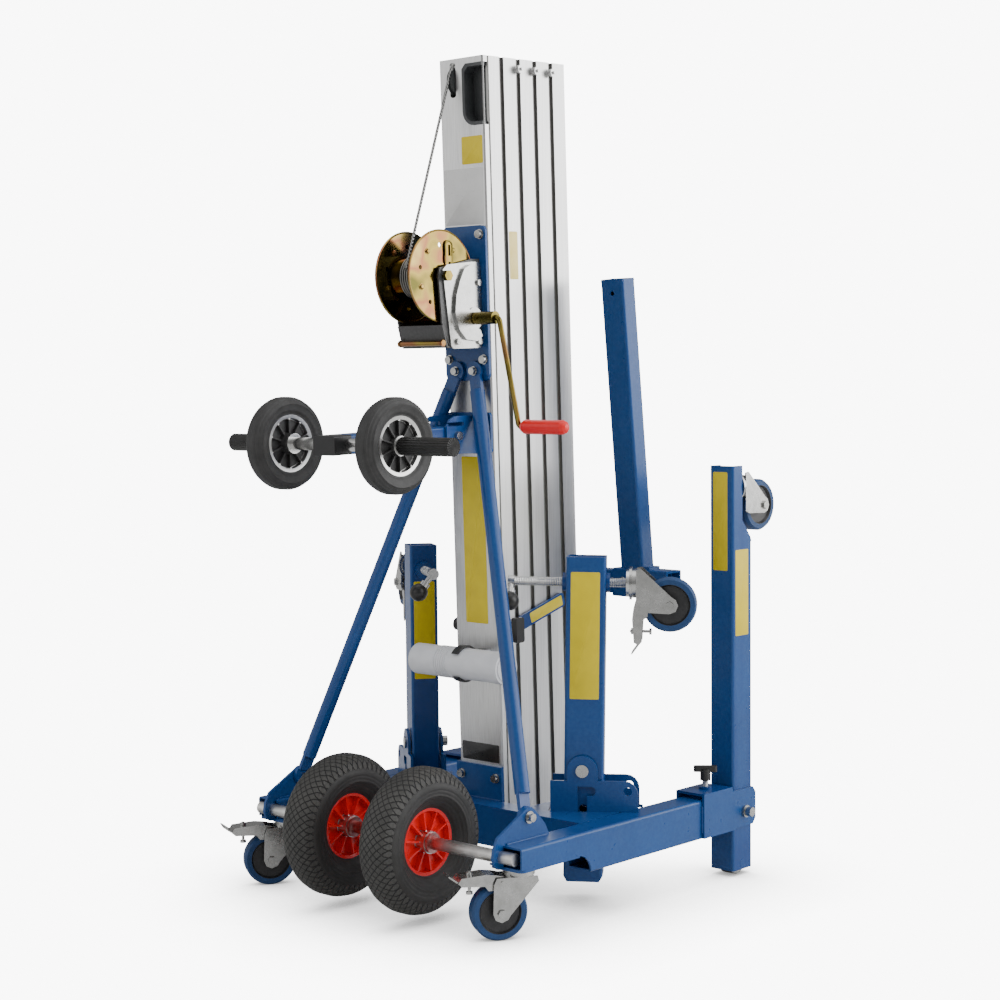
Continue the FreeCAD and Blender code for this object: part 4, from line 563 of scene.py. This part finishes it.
def handle_wheel_rubber(side):
    """Black solid wheel with a bright ring in its side and a steel hub."""
    ring_radius = (47.5, 56.8)
    hub_radius = 19.0
    tread_rate = 1400.0
    joint = joint_of["handle_wheel_turn_" + side]
    s = Shader("handle_wheel_rubber_" + side, roughness=0.55)
    radius = s.axis_distance(joint["pos_m"], joint["axis"])
    ring = s.inside(radius, ring_radius[0] * MM, ring_radius[1] * MM)
    metal = s.math("MAXIMUM", ring, s.math("LESS_THAN", radius, hub_radius * MM))
    rubber = s.cloudy(50.0, knob_black, (0.028, 0.028, 0.028))
    s.colour(s.mix(metal, rubber, turned_steel))
    s.metal_where(metal)
    s.rough(s.spread(metal, 0.6, 0.3))
    treads = s.math("SINE", s.math("MULTIPLY", s.axes()["X"], tread_rate))
    s.bump(s.math("MULTIPLY_ADD", s.noise(300.0), 0.4, treads), 0.18, 0.001)
    return s.material


def rim_paint(side):
    """Red rim with a bare steel hub."""
    hub_radius = 23.0
    joint = joint_of["wheel_turn_" + side]
    s = Shader("rim_paint_" + side, roughness=0.36, coat=0.1)
    hub = s.math("LESS_THAN", s.axis_distance(joint["pos_m"], joint["axis"]), hub_radius * MM)
    red = s.cloudy(18.0, (0.70, 0.004, 0.003), (0.84, 0.010, 0.008))
    s.colour(s.mix(hub, red, turned_steel))
    s.metal_where(hub)
    s.rough(s.spread(s.noise(90.0), 0.22, 0.38))
    s.bump(s.noise(300.0), 0.06, 0.0004)
    return s.material


def tyre_rubber(side):
    """Tyre whose crown is cut into blocks by grooves that cross."""
    crown_from = 117.0
    groove_count = 28.0
    groove_slant = 30.0
    groove_width = 0.24
    block_slope = 0.34
    wall_ring_rate = 900.0
    wall_ring_height = 0.02
    joint = joint_of["wheel_turn_" + side]
    s = Shader("tyre_rubber_" + side, roughness=0.6)
    radius = s.axis_distance(joint["pos_m"], joint["axis"])
    dust = s.noise(14.0, 4.0)
    wall = s.ramp(dust, [(0.3, (0.013, 0.013, 0.012)), (0.75, (0.027, 0.026, 0.025))])
    blocks_tone = s.ramp(dust, [(0.3, (0.030, 0.030, 0.028)), (0.75, (0.052, 0.050, 0.046))])
    from_middle = s.math("SUBTRACT", s.axes()["X"], joint["pos_m"][0])
    turned_by = s.math("MULTIPLY", s.angle(joint["pos_m"]), groove_count)
    slant = s.math("MULTIPLY", from_middle, 2 * math.pi / (groove_slant * MM))
    one_way = s.math("ABSOLUTE", s.math("SINE", s.math("ADD", turned_by, slant)))
    other_way = s.math("ABSOLUTE", s.math("SINE", s.math("SUBTRACT", turned_by, slant)))
    groove = s.math("MINIMUM", one_way, other_way)
    crown = s.math("GREATER_THAN", radius, crown_from * MM)
    cut = s.math("MULTIPLY", crown, s.math("LESS_THAN", groove, groove_width))
    rings = s.math("SINE", s.math("MULTIPLY", radius, wall_ring_rate))
    rings = s.math("MULTIPLY", rings, wall_ring_height)
    shape = s.math("MULTIPLY_ADD", s.math("MINIMUM", groove, block_slope), crown, rings)
    s.colour(s.mix(cut, s.mix(crown, wall, blocks_tone), (0.003, 0.003, 0.003)))
    s.rough(s.spread(s.noise(70.0), 0.52, 0.72))
    s.bump(s.math("MULTIPLY_ADD", s.noise(260.0), 0.02, shape), 1.0, 0.009)
    return s.material


def screw_metal(side):
    """Threaded zinc screw with a black ball on its crank arm."""
    ball_radius = 19.5
    shaft_radius = 9.6
    thread_pitch = 3.5
    joint = joint_of["stabiliser_jack_" + side]
    s = Shader("jack_screw_" + side, roughness=0.3)
    centre = stab_frame(side) @ (Vector(stab_ball) * MM)
    ball = s.math("LESS_THAN", s.distance(centre), ball_radius * MM)
    thread = s.wave(s.along(joint["axis"]), thread_pitch)
    shaft = s.math("LESS_THAN", s.axis_distance(joint["pos_m"], joint["axis"]), shaft_radius * MM)
    s.colour(s.mix(ball, s.cloudy(60.0, zinc_dark, zinc_light), deep_black))
    s.metal_where(s.math("SUBTRACT", 1.0, ball))
    s.rough(s.spread(ball, 0.26, 0.34))
    s.bump(s.math("MULTIPLY", shaft, thread), 0.6, 0.0012)
    return s.material


def knob_plastic(side):
    """Threaded zinc stud under a black wing."""
    wing_from_z = 214.0
    thread_pitch = 2.0
    s = Shader("socket_knob_" + side, roughness=0.45)
    z = s.axes()["Z"]
    wing = s.math("GREATER_THAN", z, wing_from_z * MM)
    stud = s.math("SUBTRACT", 1.0, wing)
    s.colour(s.mix(wing, s.cloudy(60.0, zinc_dark, zinc_light), knob_black))
    s.metal_where(stud)
    s.rough(s.spread(s.noise(120.0), 0.36, 0.5))
    s.bump(s.math("MULTIPLY", stud, s.wave(z, thread_pitch)), 0.5, 0.001)
    return s.material


blue = blue_paint()
silver = zinc()
gold = gold_zinc()
alu = aluminium()
grey_plastic = plastic("dark_grey_plastic", (0.025, 0.028, 0.03), (0.045, 0.048, 0.05))
red_plastic = plastic("red_grip_plastic", (0.72, 0.002, 0.003), (0.84, 0.006, 0.007), 0.34)


def dress(name, material):
    data = nodes[name].data
    data.materials.clear()
    data.materials.append(material)


for name in ("base_frame", "struts", "winch_plate", "handle_bracket", "carriage"):
    dress(name, blue)
for index in range(1, 6):
    dress("mast_section_%d" % index, alu)
dress("lock_bar", blue_paint("lock_bar_paint", lock_knobs))
dress("handle_arm", blue_paint("handle_arm_paint", arm_cap))
dress("handle_bar", bar_metal())
dress("winch_cover", silver)
dress("frame_bolts", silver)
dress("winch_frame", black_paint())
dress("winch_drum", drum_metal())
dress("winch_crank", gold)
dress("crank_grip", red_plastic)
dress("wire_rope", rope_steel())
dress("top_pulley", grey_plastic)
dress("mast_grip", grey_plastic)
dress("rear_axle", axle_metal())
dress("document_tube", tube_plastic())
for side in ("left", "right"):
    for kind in ("fork_", "stabiliser_leg_", "front_leg_"):
        dress(kind + side, blue)
    for kind in ("rear_caster_pedal_", "stabiliser_pedal_", "stabiliser_pivot_", "front_roller_"):
        dress(kind + side, silver)
    for kind in ("rear_caster", "stabiliser", "front_caster"):
        dress(kind + "_wheel_" + side, caster_rubber(kind, side))
        dress(kind + "_fork_" + side, silver)
    dress("stabiliser_screw_" + side, screw_metal(side))
    dress("socket_knob_" + side, knob_plastic(side))
    dress("handle_wheel_" + side, handle_wheel_rubber(side))
    dress("wheel_tyre_" + side, tyre_rubber(side))
    dress("wheel_rim_" + side, rim_paint(side))


def smooth(mesh, degrees):
    """Smooth shading that keeps edges sharper than the angle."""
    mesh.shade_smooth()
    work = bmesh.new()
    work.from_mesh(mesh)
    limit = math.radians(degrees)
    for edge in work.edges:
        if len(edge.link_faces) == 2:
            edge.smooth = edge.calc_face_angle(0.0) < limit
    work.to_mesh(mesh)
    work.free()


def add_piece(name, body, work, material, sharp_deg=35.0):
    """Makes an object of the mesh being built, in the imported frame, on its body."""
    bmesh.ops.recalc_face_normals(work, faces=work.faces)
    mesh = bpy.data.meshes.new(name)
    work.to_mesh(mesh)
    work.free()
    piece = bpy.data.objects.new(name, mesh)
    scene.collection.objects.link(piece)
    mesh.materials.append(material)
    smooth(mesh, sharp_deg)
    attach(piece, body)


def skin(work, rings, closed=False):
    """Quads between rings of points; the ends are capped, or joined where it is closed."""
    pairs = list(zip(rings, rings[1:]))
    if closed:
        pairs.append((rings[-1], rings[0]))
    for low, high in pairs:
        for i in range(len(low)):
            j = (i + 1) % len(low)
            work.faces.new((low[i], low[j], high[j], high[i]))
    if not closed:
        work.faces.new(rings[0][::-1])
        work.faces.new(rings[-1])


def panel(name, body, matrix, corner, across, size, material):
    """A thin plain sheet with rounded corners; size is its width and height in millimetres."""
    corner_radius = 3.0
    corner_steps = 4
    layers = [(0.04, 0.0), (0.24, 0.0), (0.3, 0.12)]
    corner = Vector(corner)
    across = Vector(across)
    up = Vector(UP)
    outward = across.cross(up)
    width, height = size
    right = width - corner_radius
    top = height - corner_radius
    outline = []
    for x, y, start in ((right, corner_radius, -90), (right, top, 0), (corner_radius, top, 90),
                        (corner_radius, corner_radius, 180)):
        for step in range(corner_steps + 1):
            angle = math.radians(start + 90.0 * step / corner_steps)
            outline.append((x + corner_radius * math.cos(angle), y + corner_radius * math.sin(angle)))
    work = bmesh.new()
    rings = []
    for lift, inset in layers:
        ring = []
        for x, y in outline:
            inner_x = width / 2 + (x - width / 2) * (1 - 2 * inset / width)
            inner_y = height / 2 + (y - height / 2) * (1 - 2 * inset / height)
            spot = corner + across * inner_x + up * inner_y + outward * lift
            ring.append(work.verts.new(matrix @ (spot * MM)))
        rings.append(ring)
    skin(work, rings)
    add_piece(name, body, work, material)


def sweep(work, path, radii, sides=10, closed=False):
    """A round rod along a path of points, with one radius for each point."""
    rings = []
    normal = None
    count = len(path)
    for index, point in enumerate(path):
        ahead = path[(index + 1) % count] if closed or index + 1 < count else point
        behind = path[index - 1] if closed or index else point
        tangent = (ahead - behind).normalized()
        normal = normal or tangent.orthogonal()
        normal = (normal - tangent * normal.dot(tangent)).normalized()
        aside = tangent.cross(normal)
        ring = []
        for step in range(sides):
            angle = 2 * math.pi * step / sides
            spoke = normal * math.cos(angle) + aside * math.sin(angle)
            ring.append(work.verts.new(point + spoke * radii[index]))
        rings.append(ring)
    skin(work, rings, closed)


def turned(work, centre, axis, profile, sides=28):
    """A turned body: profile is a list of (distance along the axis, radius), in millimetres."""
    smallest_radius = 0.05
    axis = Vector(axis).normalized()
    normal = axis.orthogonal().normalized()
    aside = axis.cross(normal)
    rings = []
    for along, radius in profile:
        ring = []
        for step in range(sides):
            angle = 2 * math.pi * step / sides
            spoke = normal * math.cos(angle) + aside * math.sin(angle)
            reach = axis * along + spoke * max(radius, smallest_radius)
            ring.append(work.verts.new(centre + reach * MM))
        rings.append(ring)
    skin(work, rings)


def weld(work, start, end, radius):
    """A rippled bead between two points in the base frame, in millimetres."""
    step_length = 1.3
    ripple = 0.14
    ripple_turn = 1.1
    end_share = 0.4
    start = place(*start)
    end = place(*end)
    steps = max(4, int((end - start).length / (step_length * MM)))
    path = [start.lerp(end, i / steps) for i in range(steps + 1)]
    swells = [1 - ripple + ripple * abs(math.sin(i * ripple_turn)) for i in range(steps + 1)]
    radii = [radius * MM * swell for swell in swells]
    radii[0] = radius * MM * end_share
    radii[-1] = radii[0]
    sweep(work, path, radii, 8)


# Plain panels in the labels' places, each from its lower corner and along its width
film_yellow = plastic("yellow_film", (0.64, 0.49, 0.0), (0.72, 0.56, 0.0), 0.5)
film_pale = plastic("pale_yellow_film", (0.86, 0.68, 0.20), (0.90, 0.74, 0.27), 0.34)
film_white = plastic("pale_grey_film", (0.62, 0.62, 0.61), (0.70, 0.70, 0.69), 0.3)
film_black = plastic("black_film", deep_black, (0.02, 0.02, 0.02), 0.3)
right_leg = stab_frame("right")
left_leg = stab_frame("left")
panels = [
    ("panel_head", "base", mast_frame, (-3, 0, 1497), EAST, (58, 56), film_yellow),
    ("panel_data", "base", mast_frame, (-55, 0, 1375), EAST, (108, 114), film_white),
    ("panel_rear", "base", mast_frame, (-30, 0, 553), EAST, (62, 347), film_yellow),
    ("panel_foot", "base", mast_frame, (-52, 0, 262), EAST, (104, 38), film_black),
    ("panel_side", "mast_2", mast_frame, (half_mast, 66, 1262), NORTH, (26, 98), film_pale),
    ("panel_leg_right", "stabiliser_leg_right", right_leg, (-30, -30, 412), EAST, (59, 258), film_yellow),
    ("panel_leg_left", "stabiliser_leg_left", left_leg, (-40, 23, 410), SOUTH, (46, 212), film_yellow),
    ("panel_front_side", "front_leg_right", to_frame, (371, 371, 514), NORTH, (46, 182), film_yellow),
    ("panel_front_rear", "front_leg_right", to_frame, (320, 362, 652), EAST, (37, 208), film_yellow),
    ("panel_lock", "lock_bar", lock_frame, (68.5, 62, -11), NORTH, (106, 22), film_yellow),
]
for name, body, matrix, corner, across, size, material in panels:
    panel(name, body, matrix, corner, across, size, material)

# Weld beads of the base: the ends and radius of those that both sides have, and one across
seam_z = cross_tube_top_z + 0.6
side_beads = [
    ((310.5, -76.0, 106), (310.5, -76.0, 181), 3.2),
    ((310.5, -23.5, 106), (310.5, -23.5, 181), 3.2),
    ((326.0, -305, seam_z), (326.0, -186, seam_z), 2.8),
    ((318.0, -300, seam_z), (318.0, -186, seam_z), 2.8),
    ((372.2, 250.6, 116), (372.2, 250.6, 172), 3.0),
    ((308.0, -310, 143.5), (288.0, -310, 143.5), 2.4),
]
beads = bmesh.new()
for sign in (-1, 1):
    for (x, y, z), (end_x, end_y, end_z), radius in side_beads:
        weld(beads, (sign * x, y, z), (sign * end_x, end_y, end_z), radius)
weld(beads, (-60, -24.6, seam_z), (60, -24.6, seam_z), 2.8)
add_piece("base_welds", "base", beads, blue, 60.0)

# Round spirit level on the cross tube, its case and its glass
level_x = -41
level_y = -48
glass_lift = 5.7
case_profile = [(0, 9.5), (0.6, 10.8), (5.8, 10.8), (6.8, 9.8), (6.6, 8.4), (5.6, 8.2), (5.6, 0.0)]
glass_profile = [(0, 7.8), (1.2, 7.4), (2.0, 5.0), (2.3, 0.0)]
level = bmesh.new()
turned(level, place(level_x, level_y, cross_tube_top_z), UP, case_profile)
add_piece("spirit_level_case", "base", level, gold)
glass = bmesh.new()
turned(glass, place(level_x, level_y, cross_tube_top_z + glass_lift), UP, glass_profile)
liquid = plastic("level_liquid", (0.30, 0.42, 0.02), (0.42, 0.55, 0.04), 0.12)
add_piece("spirit_level_glass", "base", glass, liquid)

# Winch: rolled edges round the two flanges
flange_radius = 91.0
rolled_radius = 2.3
edge_steps = 96
edges = bmesh.new()
for flange_x in (-61.5, 31.5):
    path = []
    for step in range(edge_steps):
        angle = 2 * math.pi * step / edge_steps
        rise = flange_radius * math.sin(angle)
        path.append(mast_place(flange_x, drum_y + flange_radius * math.cos(angle), drum_z + rise))
    sweep(edges, path, [rolled_radius * MM] * edge_steps, closed=True)
add_piece("winch_flange_edges", "winch_drum", edges, gold)

# Bolt heads on the faces of the flanges, each face with its place across and its direction
mast_east = mast_frame.to_3x3() @ Vector(EAST)
bolt_faces = [(33.0, 1), (-60.0, 1), (-63.0, -1)]
bolt_count = 5
bolt_first_deg = 56
bolt_circle = 62.0
bolt_profile = [(0, 6.8), (0.8, 6.8), (1.0, 5.2), (3.4, 4.8), (4.0, 3.6), (4.2, 0.0)]
bolts = bmesh.new()
for face_x, way in bolt_faces:
    for step in range(bolt_count):
        angle = math.radians(360 / bolt_count * step + bolt_first_deg)
        rise = bolt_circle * math.sin(angle)
        spot = mast_place(face_x, drum_y + bolt_circle * math.cos(angle), drum_z + rise)
        turned(bolts, spot, mast_east * way, bolt_profile, 6)
add_piece("winch_flange_bolts", "winch_drum", bolts, gold, 25.0)

# Bow that clamps the rope's end to the near flange
bow_x = 35.4
bow_y = drum_y + 20.0
bow_z = drum_z + 60.0
bow_radius = 9.5
bow_steps = 24
bow_wire_radius = 2.3
path = [mast_place(bow_x, bow_y - bow_radius, bow_z + drop) for drop in (-34, -22, -10)]
for step in range(bow_steps + 1):
    angle = math.pi * step / bow_steps
    rise = bow_radius * math.sin(angle)
    path.append(mast_place(bow_x, bow_y - bow_radius * math.cos(angle), bow_z + rise))
path += [mast_place(bow_x, bow_y + bow_radius, bow_z + drop) for drop in (-10, -22, -34)]
bow = bmesh.new()
sweep(bow, path, [bow_wire_radius * MM] * len(path))
add_piece("rope_clamp_bow", "winch_drum", bow, gold)

# Tie rod under the drum, with a nut at each end
rod_from_x = -83.8
nut_places = (-83.0, 36.0)
rod_profile = [(0, 4.6), (0.6, 5.2), (125.0, 5.2), (125.6, 4.6)]
nut_profile = [(0, 7.0), (0.4, 7.4), (5.2, 7.4), (5.6, 7.0)]
tie = bmesh.new()
turned(tie, mast_place(rod_from_x, tie_y, tie_z), mast_east, rod_profile, 20)
for nut_x in nut_places:
    turned(tie, mast_place(nut_x, tie_y, tie_z), mast_east, nut_profile, 6)
add_piece("winch_tie_rod", "base", tie, gold, 30.0)

# Wire clips through the forks' pins: a straight leg, a loop and a wavy leg, in x and z
clip_y = 278.8
clip_wire_radius = 1.3
straight_leg = [(109, 620.6), (117, 620.6), (125, 620.6), (133, 620.2)]
wavy_leg = [(131, 628.4), (127, 626.6), (122, 625.4), (117, 627.0), (112, 629.5)]
loop_x = 141
loop_z = 625
loop_radius = 7.0
loop_steps = 24
loop = []
for step in range(loop_steps + 1):
    angle = math.radians(-150 + 290.0 * step / loop_steps)
    loop.append((loop_x + loop_radius * math.cos(angle), loop_z + loop_radius * math.sin(angle)))
route = straight_leg + loop + wavy_leg
for side, sign in (("right", 1), ("left", -1)):
    clip = bmesh.new()
    sweep(clip, [place(sign * x, clip_y, z) for x, z in route], [clip_wire_radius * MM] * len(route), 8)
    add_piece("fork_clip_" + side, "fork_" + side, clip, silver)

# Floor: pale, lit evenly for the camera, with a painted contact shadow where the object stands close above
# it
floor_half = 14.0
contact_reach = 0.32
contact_power = 2.2
contact_glow = 0.3


def floor_material():
    s = Shader("pale_floor", roughness=0.7)
    fine = s.noise(38.0, 6.0, 0.65)
    s.colour(s.ramp(fine, [(0.35, (0.74, 0.74, 0.735)), (0.65, (0.80, 0.80, 0.795))]))
    s.bump(fine, 0.1, 0.002)
    # Painted contact shadow: ambient occlusion dims the camera's glow down to contact_glow where the object
    # is close above.
    near = s.node("AmbientOcclusion")
    near.samples = 12
    near.inputs["Distance"].default_value = contact_reach
    open_share = s.math("POWER", near.outputs["AO"], contact_power)
    seen = s.node("LightPath").outputs["Is Camera Ray"]
    glow = s.node("Emission")
    feed(s.tree, glow.inputs["Color"], (1.0, 1.0, 1.0))
    lit = s.math("MULTIPLY", seen, s.spread(open_share, contact_glow, backdrop_glow))
    s.link(lit, glow.inputs["Strength"])
    blend = s.node("MixShader")
    s.link(seen, blend.inputs["Fac"])
    s.link(s.bsdf.outputs["BSDF"], blend.inputs[1])
    s.link(glow.outputs["Emission"], blend.inputs[2])
    s.link(blend.outputs["Shader"], s.tree.nodes["Material Output"].inputs["Surface"])
    return s.material


floor_mesh = bpy.data.meshes.new("floor")
corners = [(-floor_half, -floor_half, 0), (floor_half, -floor_half, 0),
           (floor_half, floor_half, 0), (-floor_half, floor_half, 0)]
floor_mesh.from_pydata(corners, [], [(0, 1, 2, 3)])
floor = bpy.data.objects.new("floor", floor_mesh)
scene.collection.objects.link(floor)
floor_mesh.materials.append(floor_material())
